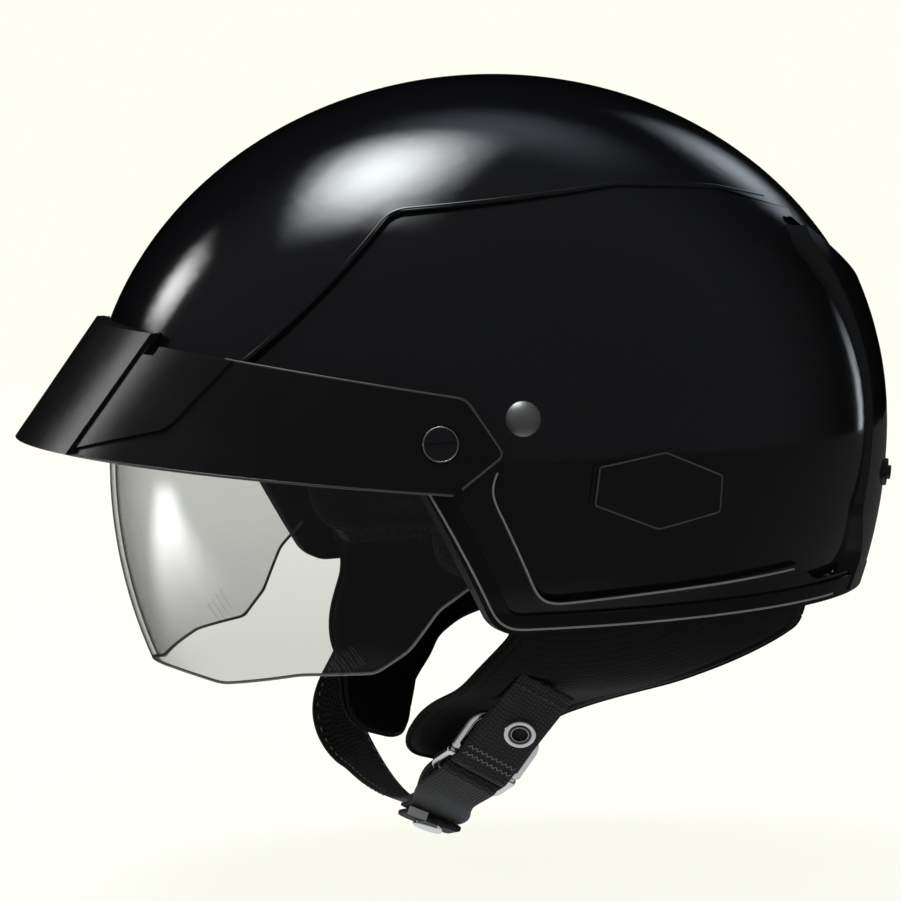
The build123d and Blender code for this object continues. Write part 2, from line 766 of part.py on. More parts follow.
# Webbing hanger inside the shell, held by the domed rivet and its washer
hanger_outside = dome(shell_wall + seat_gap)
hanger_inside = dome(shell_wall + seat_gap + hanger_thickness)
hanger_region = side_prism(side_points(hanger_shares), flap_corner, left_only=True)
with BuildPart() as hanger_strap_left:
    add(hanger_outside)
    add(hanger_inside, mode=Mode.SUBTRACT)
    add(hanger_region, mode=Mode.INTERSECT)
    with BuildSketch(rivet_plane):
        Circle(rivet_shank_radius + shank_gap)
    extrude(amount=-rivet_x, mode=Mode.SUBTRACT)

strap_depth = shell_wall + seat_gap + hanger_thickness
rivet_depth = depth_along(rivet_plane, dome_half_width - strap_depth, dome_half_length - strap_depth,
                          dome_half_height - strap_depth)
washer_plane = rivet_plane.offset(-rivet_depth - seat_gap)
head_turn = Plane(origin=rivet_plane.origin, x_dir=rivet_plane.x_dir, z_dir=rivet_plane.y_dir * -1)
cap_radius = (rivet_head_radius**2 + rivet_head_height**2) / (2 * rivet_head_height)
cap_half_share = rivet_head_radius / 2
cap_half_height = rivet_head_height - cap_radius + sqrt(cap_radius**2 - cap_half_share**2)
with BuildPart() as strap_rivet_left:
    with BuildSketch(head_turn):
        with BuildLine():
            Line((0, 0), (rivet_head_radius, 0))
            ThreePointArc((rivet_head_radius, 0), (cap_half_share, cap_half_height), (0, rivet_head_height))
            Line((0, rivet_head_height), (0, 0))
        make_face()
    revolve(axis=Axis(rivet_plane.origin, rivet_plane.z_dir))
    with BuildSketch(rivet_plane):
        Circle(rivet_shank_radius)
    extrude(amount=-rivet_depth - seat_gap - washer_height)
    with BuildSketch(washer_plane.offset(-washer_height)):
        Circle(rivet_end_radius)
    extrude(amount=-rivet_end_height)

with BuildPart() as rivet_washer_left:
    with BuildSketch(washer_plane):
        Circle(washer_radius)
        Circle(rivet_shank_radius + shank_gap, mode=Mode.SUBTRACT)
    extrude(amount=-washer_height)

# Ear flap: arcs in plan at several heights, lofted and cut to the flap's outline in side view
flap_region = side_prism(side_points(flap_shares), flap_corner, left_only=True)
flap_top = side_prism(edge_points, edge_corner, seat_gap - liner_inset)
with BuildPart() as ear_flap:
    for height_share, lean_share, slant_share in flap_section_shares:
        lean = lean_share * flap_half_width
        wall = slant_share * flap_thickness
        face = [(flap_half_width * sqrt(1 - (y / flap_half_length) ** 2) - lean, y)
                for y in (flap_front_y, flap_middle_y, flap_rear_y)]
        back = [(x - wall, y) for x, y in reversed(face)]
        with BuildSketch(Plane.XY.offset(height_share * dome_half_height)):
            with BuildLine():
                ThreePointArc(*face)
                Line(face[-1], back[0])
                ThreePointArc(*back)
                Line(back[-1], face[0])
            make_face()
    loft()
    add(flap_region, mode=Mode.INTERSECT)
    add(flap_top, mode=Mode.SUBTRACT)

# Frame of the buckle: across the strap, up the strap and out of its face
seam = place(seam_shares)
fold = place(fold_shares)
across = Vector(*buckle_across).normalized()
climb = seam - fold - across * (seam - fold).dot(across)
up = climb.normalized()
out = across.cross(up)
strap_face = Plane(origin=fold, x_dir=across, z_dir=out)
strap_side = Plane(origin=fold, x_dir=up, z_dir=across)

# The left flap has a seat for the strap sewn on it, and the right one has none
with BuildPart() as ear_flap_left:
    add(ear_flap.part)
    with BuildSketch(strap_side):
        with Locations((0, -webbing_thickness / 2)):
            Rectangle(climb.length + seam_overlap + seat_gap, webbing_thickness + 2 * seat_gap,
                      align=(Align.MIN, Align.CENTER))
    extrude(amount=webbing_width / 2 + seat_gap, both=True, mode=Mode.SUBTRACT)
ear_flap_left.part.label = "ear_flap_left"
export_step(ear_flap_left.part, "parts/ear_flap_left.step")
with BuildPart() as ear_flap_right:
    mirror(ear_flap.part, about=Plane.YZ)
ear_flap_right.part.label = "ear_flap_right"
export_step(ear_flap_right.part, "parts/ear_flap_right.step")

# Left strap: one layer down to the buckle, folded round the bars of both rings and sewn to its own back
slot_height = ring_wire + 2 * bar_gap
slot_length = slot_height + ring_wire + bar_spacing
slot_middle = (ring_wire + bar_spacing) / 2
bar_depth = webbing_thickness + slot_height / 2
loop_radius = slot_height / 2 + webbing_thickness
with BuildPart() as chin_strap_left:
    with BuildSketch(strap_side):
        with Locations((slot_middle, -bar_depth)):
            SlotOverall(slot_length + 2 * webbing_thickness, 2 * loop_radius)
        with Locations((0, -webbing_thickness)):
            Rectangle(climb.length + seam_overlap, webbing_thickness, align=(Align.MIN, Align.MIN))
        with Locations((slot_middle, -2 * webbing_thickness)):
            Rectangle(fold_return - slot_middle, webbing_thickness, align=(Align.MIN, Align.MIN))
        with Locations((slot_middle, -bar_depth)):
            SlotOverall(slot_length, slot_height, mode=Mode.SUBTRACT)
    extrude(amount=webbing_width / 2, both=True)
chin_strap_left.part.label = "chin_strap_left"
export_step(chin_strap_left.part, "parts/chin_strap_left.step")

# Snap socket on the left strap
with BuildPart() as strap_snap_socket:
    with BuildSketch(strap_face):
        with Locations((socket_across, socket_rise)):
            Circle(socket_radius)
    extrude(amount=socket_height)
    fillet(strap_snap_socket.edges().filter_by(GeomType.CIRCLE).group_by(SortBy.DISTANCE)[-1], socket_edge)
    with BuildSketch(strap_face.offset(socket_height)):
        with Locations((socket_across, socket_rise)):
            Circle(socket_bore)
    extrude(amount=-socket_height, mode=Mode.SUBTRACT)
strap_snap_socket.part.label = "strap_snap_socket"
export_step(strap_snap_socket.part, "parts/strap_snap_socket.step")

# Outline of a buckle ring: its straight bar lies on the X axis and its rounded end in +Y
with BuildSketch() as ring_outline:
    with Locations((0, -ring_wire / 2)):
        outer = Rectangle(ring_inner_width + 2 * ring_wire, ring_inner_depth + 2 * ring_wire,
                          align=(Align.CENTER, Align.MIN))
    fillet(ring_outline.vertices().sort_by(Axis.Y)[-2:], ring_corner + ring_wire)
    fillet(ring_outline.vertices().sort_by(Axis.Y)[:2], ring_wire / 2)
    with BuildSketch(mode=Mode.SUBTRACT) as ring_window:
        with Locations((0, ring_wire / 2)):
            Rectangle(ring_inner_width, ring_inner_depth, align=(Align.CENTER, Align.MIN))
        fillet(ring_window.vertices().sort_by(Axis.Y)[-2:], ring_corner)

# Lower ring, hanging from the fold, and upper ring, folded up behind the strap
low_bar = fold - out * bar_depth
high_bar = low_bar + up * (ring_wire + bar_spacing)
low_way = up * -cos(radians(ring_tilt)) - out * sin(radians(ring_tilt))
high_way = up * cos(radians(ring_upper_tilt)) - out * sin(radians(ring_upper_tilt))
with BuildPart() as ring_lower:
    with BuildSketch(Plane(origin=low_bar, x_dir=across, z_dir=across.cross(low_way))):
        add(ring_outline.sketch)
    extrude(amount=ring_wire / 2, both=True)
    fillet(ring_lower.edges(), ring_edge)
ring_lower.part.label = "ring_lower"
export_step(ring_lower.part, "parts/ring_lower.step")

with BuildPart() as ring_upper:
    with BuildSketch(Plane(origin=high_bar, x_dir=across, z_dir=across.cross(high_way))):
        add(ring_outline.sketch)
    extrude(amount=ring_wire / 2, both=True)
    fillet(ring_upper.edges(), ring_edge)
ring_upper.part.label = "ring_upper"
export_step(ring_upper.part, "parts/ring_upper.step")

# Right strap: from the far flap under the chin, up through the lower ring, round its bar and back as a tail
ring_out = out * cos(radians(ring_tilt)) - up * sin(radians(ring_tilt))
end_reach = ring_wire * 3 / 2 + ring_inner_depth
turn_radius = ring_wire / 2 + end_reach * sin(radians(ring_play)) + bar_gap + webbing_thickness / 2
turn_middle = low_bar + low_way * (loop_radius + tail_gap + turn_radius + webbing_thickness / 2)
lead = low_way * (end_reach + tail_lead)
chin_points = [place(shares) for shares in chin_shares]
bar_points = [low_bar + lead - ring_out * turn_radius, turn_middle - ring_out * turn_radius]
run_path = Edge.make_spline(chin_points + bar_points,
                            tangents=[chin_points[1] - chin_points[0], low_way * -1])
run_planes = []
for step in range(strap_steps + 1):
    share = step / strap_steps
    if share < chin_middle_share:
        mix = share / chin_middle_share
        width_way = Vector(*far_across) * (1 - mix) + Vector(*chin_across) * mix
    else:
        mix = (share - chin_middle_share) / (1 - chin_middle_share)
        width_way = Vector(*chin_across) * (1 - mix) + across * mix
    run_planes.append(Plane(origin=run_path.position_at(share), x_dir=width_way,
                            z_dir=run_path.tangent_at(share)))

tail_first = round(tail_end_share * strap_steps)
tail_last = round(tail_start_share * strap_steps)
tail_points = [turn_middle + ring_out * turn_radius, low_bar + lead + ring_out * turn_radius]
for plane in reversed(run_planes[tail_first:tail_last + 1:2]):
    tail_points.append(plane.origin - plane.y_dir * (webbing_thickness + tail_gap))
tail_path = Edge.make_spline(tail_points, tangents=[low_way, run_planes[tail_first].z_dir * -1])
tail_planes = []
for step in range(tail_steps + 1):
    share = step / tail_steps
    width_way = across * (1 - share) + run_planes[tail_first].x_dir * share
    tail_planes.append(Plane(origin=tail_path.position_at(share), x_dir=width_way,
                             z_dir=tail_path.tangent_at(share)))

with BuildPart() as strap_run:
    for plane in run_planes:
        with BuildSketch(plane):
            Rectangle(webbing_width, webbing_thickness)
    loft(ruled=True)
with BuildPart() as strap_tail:
    for plane in tail_planes:
        with BuildSketch(plane):
            Rectangle(webbing_width, webbing_thickness)
    loft(ruled=True)
with BuildPart() as chin_strap_right:
    with BuildSketch(Plane(origin=turn_middle, x_dir=low_way * -1, z_dir=across)):
        Circle(turn_radius + webbing_thickness / 2)
        Circle(turn_radius - webbing_thickness / 2, mode=Mode.SUBTRACT)
        Rectangle(2 * webbing_width, 2 * webbing_width, align=(Align.MAX, Align.CENTER), mode=Mode.SUBTRACT)
    extrude(amount=webbing_width / 2, both=True)
    add(strap_run.part)
    add(strap_tail.part)
chin_strap_right.part.label = "chin_strap_right"
export_step(chin_strap_right.part, "parts/chin_strap_right.step")

# Sewn hem under the end of the tail, with a plain tab on its near face and a snap stud below
hem_plane = tail_planes[-2]
hem_face = Plane(origin=hem_plane.origin + hem_plane.y_dir * (webbing_thickness / 2 + seat_gap),
                 x_dir=hem_plane.x_dir, z_dir=hem_plane.y_dir)
with BuildPart() as strap_hem:
    with BuildSketch(hem_face):
        Rectangle(webbing_width, hem_length)
    extrude(amount=hem_height)
strap_hem.part.label = "strap_hem"
export_step(strap_hem.part, "parts/strap_hem.step")

with BuildPart() as strap_tab:
    with BuildSketch(Plane(origin=hem_face.origin + hem_face.y_dir * (hem_length / 2), x_dir=hem_face.x_dir,
                           z_dir=hem_face.y_dir)):
        with Locations(((tab_width - webbing_width) / 2, -hem_height / 2)):
            Rectangle(tab_width, hem_height)
    extrude(amount=tab_wall)
strap_tab.part.label = "strap_tab"
export_step(strap_tab.part, "parts/strap_tab.step")

with BuildPart() as strap_snap_stud:
    with BuildSketch(hem_face.offset(hem_height)):
        Circle(stud_radius)
    extrude(amount=stud_height)
    fillet(strap_snap_stud.edges().filter_by(GeomType.CIRCLE).group_by(SortBy.DISTANCE)[-1], stud_height / 3)
strap_snap_stud.part.label = "strap_snap_stud"
export_step(strap_snap_stud.part, "parts/strap_snap_stud.step")

# Side badges: bevelled hexagons on the side panels
badge_low = side_skin(-badge_gap - badge_height / 2)
badge_high = side_skin(-badge_gap - badge_height)
badge_back = side_skin(-badge_gap)
badge_points = side_points(badge_shares)
badge_foot = side_prism(badge_points, badge_corner, left_only=True)
badge_top = side_prism(badge_points, badge_corner, -badge_bevel, left_only=True)
with BuildPart() as badge_crown:
    add(badge_high)
    add(badge_top, mode=Mode.INTERSECT)
with BuildPart() as badge_left:
    add(badge_low)
    add(badge_foot, mode=Mode.INTERSECT)
    add(badge_crown.part)
    add(badge_back, mode=Mode.SUBTRACT)

# Rear vent: a slotted insert on the floor of its pocket
with BuildPart() as rear_vent_left:
    with BuildSketch(vent_seat):
        SlotOverall(vent_length - 2 * running_gap, vent_height - 2 * running_gap)
    extrude(amount=vent_floor)
    with BuildSketch(vent_seat):
        with GridLocations(vent_bar_pitch, 0, vent_bars, 1):
            Rectangle(vent_bar_width, vent_height - 2 * running_gap)
    extrude(amount=vent_bar_height)

# Rear snap: a rim in its seat with a stud in the middle
with BuildPart() as rear_snap_left:
    with BuildSketch(snap_seat):
        Circle(snap_radius)
    extrude(amount=snap_seat_depth + snap_rim_height)
    fillet(rear_snap_left.edges().filter_by(GeomType.CIRCLE).sort_by(SortBy.DISTANCE)[-1:], snap_rim_height / 3)
    with BuildSketch(snap_plane):
        Circle(snap_stud_radius)
    extrude(amount=snap_height)
    fillet(rear_snap_left.edges().filter_by(GeomType.CIRCLE).sort_by(SortBy.DISTANCE)[-1:], snap_rim_height / 3)

# Both hands of every paired piece
for left, name in ((side_pad_left, "side_pad"), (pivot_boss_left, "pivot_boss"),
                   (pivot_washer_left, "pivot_washer"), (pivot_screw_left, "pivot_screw"),
                   (peak_screw_left, "peak_screw"), (peak_nut_left, "peak_nut"),
                   (hanger_strap_left, "hanger_strap"), (strap_rivet_left, "strap_rivet"),
                   (rivet_washer_left, "rivet_washer"), (badge_left, "badge"), (rear_vent_left, "rear_vent"),
                   (rear_snap_left, "rear_snap")):
    left.part.label = f"{name}_left"
    export_step(left.part, f"parts/{name}_left.step")
    with BuildPart() as right:
        mirror(left.part, about=Plane.YZ)
    right.part.label = f"{name}_right"
    export_step(right.part, f"parts/{name}_right.step")
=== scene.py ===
# %% [markdown]
# # Half shell helmet, dressed around its solids
#
# The solids of the helmet are already packed, and they are the fixed frame of this lesson.
# Hard parts keep their solids and get a finish. Soft parts, such as pads, flaps and webbing,
# are made again here as cloth forms.
# All lengths are metres. The face looks along -Y, the wearer's left is +X and the crown is +Z.

# %% Load the frame
import json
import math

import bmesh
import bpy
import numpy as np
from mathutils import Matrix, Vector


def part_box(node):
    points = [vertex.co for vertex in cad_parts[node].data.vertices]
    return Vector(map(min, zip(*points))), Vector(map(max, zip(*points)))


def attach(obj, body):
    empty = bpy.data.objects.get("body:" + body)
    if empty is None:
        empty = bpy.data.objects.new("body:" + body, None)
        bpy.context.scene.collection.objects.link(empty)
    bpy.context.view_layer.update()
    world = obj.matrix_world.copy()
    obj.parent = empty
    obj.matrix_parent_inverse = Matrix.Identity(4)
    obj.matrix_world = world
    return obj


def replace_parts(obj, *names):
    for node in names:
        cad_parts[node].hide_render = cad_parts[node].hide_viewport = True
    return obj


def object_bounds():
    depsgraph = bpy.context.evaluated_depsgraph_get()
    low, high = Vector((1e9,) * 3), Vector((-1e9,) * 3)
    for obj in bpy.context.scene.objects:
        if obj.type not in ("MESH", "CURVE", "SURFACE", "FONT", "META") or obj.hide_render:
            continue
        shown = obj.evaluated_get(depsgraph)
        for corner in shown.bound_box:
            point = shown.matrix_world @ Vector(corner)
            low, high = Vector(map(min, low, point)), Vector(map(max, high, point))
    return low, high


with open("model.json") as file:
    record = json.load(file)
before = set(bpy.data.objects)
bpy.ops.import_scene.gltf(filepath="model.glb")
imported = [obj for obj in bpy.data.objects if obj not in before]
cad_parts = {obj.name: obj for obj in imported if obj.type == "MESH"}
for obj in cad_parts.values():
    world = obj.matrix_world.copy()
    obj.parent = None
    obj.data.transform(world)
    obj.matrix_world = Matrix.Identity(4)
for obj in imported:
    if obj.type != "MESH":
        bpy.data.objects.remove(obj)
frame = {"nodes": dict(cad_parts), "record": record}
cad_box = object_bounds()

# %% [markdown]
# ## Camera
#
# The photograph looks at the helmet's left side, a little from the front and from above.
# A long lens from 2.5 m away gives its flat perspective. The lens length follows from the
# distance and from how many metres one pixel covers at the helmet.

# %% Camera at the photograph's place
photo_side = 901
sensor_width = 36
camera_azimuth = math.radians(70)
camera_elevation = math.radians(7)
camera_distance = 2.5
metres_per_pixel = 0.000365
aim = Vector((0, -0.0149, -0.009))


def towards(azimuth, elevation):
    """Unit vector from the helmet outwards: azimuth 0 is in front of the face and 90 is its left side."""
    flat = math.cos(elevation)
    return Vector((math.sin(azimuth) * flat, -math.cos(azimuth) * flat, math.sin(elevation)))


def collect(thing):
    """Links an object into the scene."""
    bpy.context.scene.collection.objects.link(thing)
    return thing


to_camera = towards(camera_azimuth, camera_elevation)
lens = bpy.data.cameras.new("photo_lens")
lens.sensor_width = sensor_width
lens.lens = sensor_width * camera_distance / (metres_per_pixel * photo_side)
camera = collect(bpy.data.objects.new("photo_camera", lens))
camera.location = aim + to_camera * camera_distance
camera.rotation_euler = (-to_camera).to_track_quat("-Z", "Y").to_euler()
bpy.context.scene.camera = camera
bpy.context.scene.view_settings.view_transform = "Standard"
print("lens:", round(lens.lens, 1), "mm")

# %% [markdown]
# ## Nodes as sums
#
# A procedural finish is a small calculation on the place of a point. Written node by node it is
# hard to read, so a socket is wrapped in a class with Python's own operators. Every other kind
# of node comes from one method that takes the node's type, its settings and its inputs.


# %% A socket that can be added and multiplied
class Amount:
    """A number that varies over a surface. Sums on it add Math nodes."""

    def __init__(self, recipe, socket):
        self.recipe, self.socket = recipe, socket

    def maths(self, operation, *others):
        """A Math node over this amount and the others."""
        node = self.recipe.node("ShaderNodeMath", {"operation": operation}, dict(enumerate((self, *others))))
        return Amount(self.recipe, node.outputs[0])

    def __add__(self, other):
        return self.maths("ADD", other)

    def __sub__(self, other):
        return self.maths("SUBTRACT", other)

    def __rsub__(self, other):
        return self * -1 + other

    def __mul__(self, other):
        return self.maths("MULTIPLY", other)

    __radd__, __rmul__ = __add__, __mul__

    def size(self):
        """The amount without its sign."""
        return self.maths("ABSOLUTE")

    def wave(self):
        """The sine of the amount."""
        return self.maths("SINE")

    def at_least(self, other):
        """The greater of both."""
        return self.maths("MAXIMUM", other)

    def rise(self, start, end):
        """0 up to start, 1 from end, and a smooth slope between them."""
        node = self.recipe.node("ShaderNodeMapRange", {"interpolation_type": "SMOOTHSTEP"},
                                {"Value": self, "From Min": start, "From Max": end})
        return Amount(self.recipe, node.outputs["Result"])


print("an amount can", ", ".join(name for name in vars(Amount) if not name.startswith("_")))


# %% A recipe is the node tree of one finish
class Recipe:
    """The node tree of a material, a lamp or the world."""

    def __init__(self, owner):
        owner.use_nodes = True
        self.owner, self.tree = owner, owner.node_tree
        self.tree.nodes.clear()

    def node(self, kind, settings=None, inputs=None):
        """Adds a node, sets its settings first, and then gives its sockets their values or links."""
        node = self.tree.nodes.new(kind)
        for name, value in (settings or {}).items():
            setattr(node, name, value)
        for name, value in (inputs or {}).items():
            self.feed(node.inputs[name], value)
        return node

    def feed(self, socket, value):
        """Links an amount or a socket into a socket, or sets it to a plain value."""
        if isinstance(value, Amount):
            self.tree.links.new(value.socket, socket)
        elif isinstance(value, bpy.types.NodeSocket):
            self.tree.links.new(value, socket)
        else:
            socket.default_value = value

    def place(self):
        """Object coordinates: x, y and z as amounts, and the vector's own socket."""
        vector = self.node("ShaderNodeTexCoord").outputs["Object"]
        parts = self.node("ShaderNodeSeparateXYZ", inputs={0: vector})
        return vector, [Amount(self, parts.outputs[i]) for i in range(3)]

    def noise(self, vector, scale, detail):
        """Soft random amount around 0.5. scale is in waves per metre."""
        node = self.node("ShaderNodeTexNoise", inputs={"Vector": vector, "Scale": scale, "Detail": detail})
        return Amount(self, node.outputs["Fac"])

    def stretch(self, vector, scale, turn):
        """A vector scaled and turned by a Mapping node."""
        inputs = {"Vector": vector, "Scale": scale, "Rotation": turn}
        return self.node("ShaderNodeMapping", inputs=inputs).outputs[0]

    def blend(self, share, low, high):
        """A colour between two colours."""
        node = self.node("ShaderNodeMix", {"data_type": "RGBA"}, {0: share, 6: low, 7: high})
        return node.outputs[2]

    def bump(self, height, depth):
        """A normal from a height that varies from 0 to 1. depth is the height of 1, in metres."""
        inputs = {"Height": height, "Distance": depth, "Strength": 1.0}
        return self.node("ShaderNodeBump", inputs=inputs).outputs[0]

    def mixed(self, share, first, second):
        """A shader between two shaders."""
        return self.node("ShaderNodeMixShader", inputs={0: share, 1: first.outputs[0], 2: second.outputs[0]})

    def surface(self, shader):
        """Ends the tree in the output node that its owner needs."""
        kinds = {"World": "ShaderNodeOutputWorld", "AreaLight": "ShaderNodeOutputLight"}
        kind = kinds.get(type(self.owner).__name__, "ShaderNodeOutputMaterial")
        self.node(kind, inputs={"Surface": shader.outputs[0]})
        return self.owner


def finish_of(name, **sockets):
    """A new material's recipe and a function that closes it with a Principled shader."""
    recipe = Recipe(bpy.data.materials.new(name))

    def close(**more):
        inputs = {key.replace("_", " "): value for key, value in {**sockets, **more}.items()}
        return recipe.surface(recipe.node("ShaderNodeBsdfPrincipled", inputs=inputs))

    return recipe, close


print("tools for finishes:", Amount.__name__, Recipe.__name__, finish_of.__name__)

# %% [markdown]
# ## Stage
#
# The helmet hangs over a pale floor in a pale room. Black gloss shows only what it reflects. A room
# that was white all round would turn it grey, so floor and room keep their brightness for the
# camera, straight or through the shield, and are dim to glossy rays. Light Path tells the rays
# apart.

# %% Pale room
pale, cool = (1.0, 1.0, 0.905, 1), (0.9, 0.94, 1.0, 1)
room_level, gloss_level = 0.55, 0.085
room = bpy.data.worlds.new("pale_room")
bpy.context.scene.world = room
sky = Recipe(room)


def ray_kinds(recipe):
    """Two amounts: 1 where the camera sees the surface, and 1 where gloss reflects it."""
    rays = recipe.node("ShaderNodeLightPath")
    straight, through, gloss = [Amount(recipe, rays.outputs[f"Is {kind} Ray"])
                                for kind in ("Camera", "Transmission", "Glossy")]
    return straight.at_least(through), gloss


seen, glossy = ray_kinds(sky)
direction = sky.node("ShaderNodeTexCoord").outputs["Generated"]
behind = sky.node("ShaderNodeVectorMath", {"operation": "DOT_PRODUCT"}, {0: direction, 1: tuple(-to_camera)})
front_share = Amount(sky, behind.outputs["Value"]).rise(0.6, -0.2)
level = seen + (1 - seen.at_least(glossy)) * room_level + glossy * front_share * gloss_level
tint = sky.blend(glossy, pale, cool)
sky.surface(sky.node("ShaderNodeBackground", inputs={"Color": tint, "Strength": level}))
print("room level:", room_level, "to matt surfaces and", gloss_level, "to gloss")

# %% Pale floor
floor_gap, floor_radius, floor_sides = 0.012, 1.6, 96
floor_height = cad_box[0].z - floor_gap
paper_colour = (0.8, 0.8, 0.77, 1)
plain_share, shown_level = 0.82, 1.1
mirror_share, near_level, far_level = 0.95, 0.95, 0.012


def mesh_piece(name, points, faces, material):
    """A smooth object from an array of points and the corners of each face."""
    mesh = bpy.data.meshes.new(name)
    mesh.from_pydata(np.asarray(points, float).tolist(), [], [list(face) for face in faces])
    mesh.update()
    mesh.polygons.foreach_set("use_smooth", np.full(len(mesh.polygons), True))
    mesh.materials.append(material)
    return collect(bpy.data.objects.new(name, mesh))


paper = Recipe(bpy.data.materials.new("floor_paper"))
shown, mirrored = ray_kinds(paper)
vector, _ = paper.place()
reach = paper.node("ShaderNodeVectorMath", {"operation": "LENGTH"}, {0: vector}).outputs["Value"]
near = Amount(paper, reach).rise(0.3, 0.1)
strength = shown * shown_level + mirrored * (near * near_level + far_level)
matt = paper.node("ShaderNodeBsdfDiffuse", inputs={"Color": paper_colour})
tint = paper.blend(mirrored, pale, cool)
plain = paper.node("ShaderNodeEmission", inputs={"Color": tint, "Strength": strength})
paper.surface(paper.mixed(shown * plain_share + mirrored * mirror_share, matt, plain))
floor_turn = np.linspace(0, 2 * np.pi, floor_sides, endpoint=False)
floor_edge = np.stack([floor_radius * np.cos(floor_turn), floor_radius * np.sin(floor_turn),
                       np.full(floor_sides, floor_height)], -1)
mesh_piece("floor", floor_edge, [range(floor_sides)], paper.owner)
print("floor at", round(floor_height, 4), "m")

# %% [markdown]
# ## Lamps
#
# The highlights on the dome and the shield are the lamps' own reflections, so each lamp's place
# follows from where its highlight lies. Their edges are soft in the photograph, which a plain area
# lamp can't give. Each lamp therefore has a small node tree that fades it towards its edges. A card
# on the floor shows only in the shield, as the bright strip near its front.


# %% Soft boxes with graded edges
def soft_box(name, azimuth, elevation, distance, size, watts, colour=(1, 1, 1), fade=0.5):
    """A rectangular lamp that faces the helmet from one direction.

    Its light falls off towards its edges, as from a lamp behind cloth: with u and v from 0 to 1
    across the lamp, the strength is r(1 - |2u - 1|) * r(1 - |2v - 1|), where r rises smoothly from 0
    to 1 over the fade.
    """
    lamp = bpy.data.lights.new(name, "AREA")
    lamp.shape = "RECTANGLE"
    lamp.size, lamp.size_y = size
    lamp.energy = watts
    lamp.color = colour
    graded = Recipe(lamp)
    spot = graded.node("ShaderNodeNewGeometry").outputs["Parametric"]
    parts = graded.node("ShaderNodeSeparateXYZ", inputs={0: spot})
    shares = [(1 - (Amount(graded, parts.outputs[i]) * 2 - 1).size()).rise(0, fade) for i in (0, 1)]
    graded.surface(graded.node("ShaderNodeEmission", inputs={"Strength": shares[0] * shares[1]}))
    way = towards(math.radians(azimuth), math.radians(elevation))
    box = collect(bpy.data.objects.new(name, lamp))
    box.location = aim + way * distance
    box.rotation_euler = way.to_track_quat("Z", "Y").to_euler()
    return box


soft_box("overhead_box", azimuth=-42, elevation=75, distance=1.6, size=(1.4, 1.2), watts=66,
         colour=(0.93, 0.97, 1), fade=1)
soft_box("brow_box", azimuth=-44, elevation=27, distance=1.8, size=(0.7, 0.8), watts=12, fade=1)
soft_box("crown_box", azimuth=-125, elevation=66, distance=1.8, size=(1.8, 1.0), watts=2.5,
         colour=(0.75, 0.86, 1), fade=1)
soft_box("rear_box", azimuth=-142, elevation=27, distance=1.8, size=(0.8, 1.0), watts=3,
         colour=(0.8, 0.9, 1), fade=1)
soft_box("rear_strip", azimuth=-160, elevation=-4, distance=1.8, size=(0.2, 1.2), watts=1.6,
         colour=(0.85, 0.93, 1), fade=1)
side_fill = soft_box("side_fill", azimuth=80, elevation=40, distance=2.4, size=(1.2, 1.2), watts=7)
side_fill.visible_glossy = False

card_azimuth, card_lift = -20, 0.006
low_card = soft_box("low_card", card_azimuth, elevation=0, distance=0.7, size=(0.34, 1.0), watts=7.5, fade=0.8)
low_card.location = (-0.175, -0.695, floor_height + card_lift)
low_card.rotation_euler = (math.pi, 0, math.radians(card_azimuth))
low_card.visible_diffuse = low_card.visible_camera = False

# %% [markdown]
# ## Hard finishes
#
# The shell is lacquered: nearly black, very smooth, with a clear coat whose faint ripple only
# shows in the highlights. The peak is a softer satin plastic with a fine grain. Bare metal gets
# its life from small changes in roughness. Each finish varies a little over the surface,
# because an even one looks like paint on a screen.

# %% Lacquer, plastics and rubber
shield_drop, tint_slope = 0.075, 14


def shaded(colour, share):
    """A colour times a share, solid."""
    return (*(part * share for part in colour[:3]), 1)


def lacquer():
    """Black clear-coated shell paint, with a ripple of a few micrometres and the odd dust haze."""
    recipe, close = finish_of("shell_lacquer", Base_Color=(0.0035, 0.0036, 0.0045, 1), Coat_Weight=0.6,
                              Coat_Roughness=0.04, IOR=1.5)
    vector, _ = recipe.place()
    haze = recipe.noise(vector, scale=14, detail=3)
    ripple = recipe.bump(recipe.noise(vector, scale=260, detail=1), depth=0.000006)
    return close(Roughness=haze * 0.06 + 0.09, Normal=ripple)


def satin_plastic(name, colour, roughness, grain_depth=0.00002, grain=2600):
    """Moulded plastic with a fine spark-eroded grain."""
    recipe, close = finish_of(name, Specular_IOR_Level=0.38)
    vector, _ = recipe.place()
    wear = recipe.noise(vector, scale=45, detail=3)
    tone = recipe.blend(wear, shaded(colour, 0.8), shaded(colour, 1.2))
    height = recipe.noise(vector, grain, detail=2)
    return close(Base_Color=tone, Roughness=wear * 0.12 + (roughness - 0.06),
                 Normal=recipe.bump(height, grain_depth))


def metal(name, colour, roughness):
    """Bright or satin metal with fine handling scratches that change its roughness."""
    recipe, close = finish_of(name, Metallic=1.0)
    vector, _ = recipe.place()
    scratches = recipe.noise(recipe.stretch(vector, scale=(1, 1, 9), turn=(0.3, 0.7, 0.2)), scale=900, detail=3)
    cloud = recipe.noise(vector, scale=220, detail=2)
    tone = recipe.blend(cloud, shaded(colour, 0.88), colour)
    return close(Base_Color=tone, Roughness=scratches * 0.15 + roughness)


def foam():
    """Expanded polystyrene: fused beads with dark lines between them."""
    recipe, close = finish_of("bead_foam")
    vector, _ = recipe.place()
    beads = recipe.node("ShaderNodeTexVoronoi", {"feature": "DISTANCE_TO_EDGE"},
                        {"Vector": vector, "Scale": 330})
    seam = Amount(recipe, beads.outputs["Distance"]).rise(0.0, 0.18)
    tone = recipe.blend(seam, (0.006, 0.006, 0.007, 1), (0.022, 0.022, 0.024, 1))
    return close(Base_Color=tone, Roughness=1 - seam * 0.35, Normal=recipe.bump(seam, depth=0.00018))


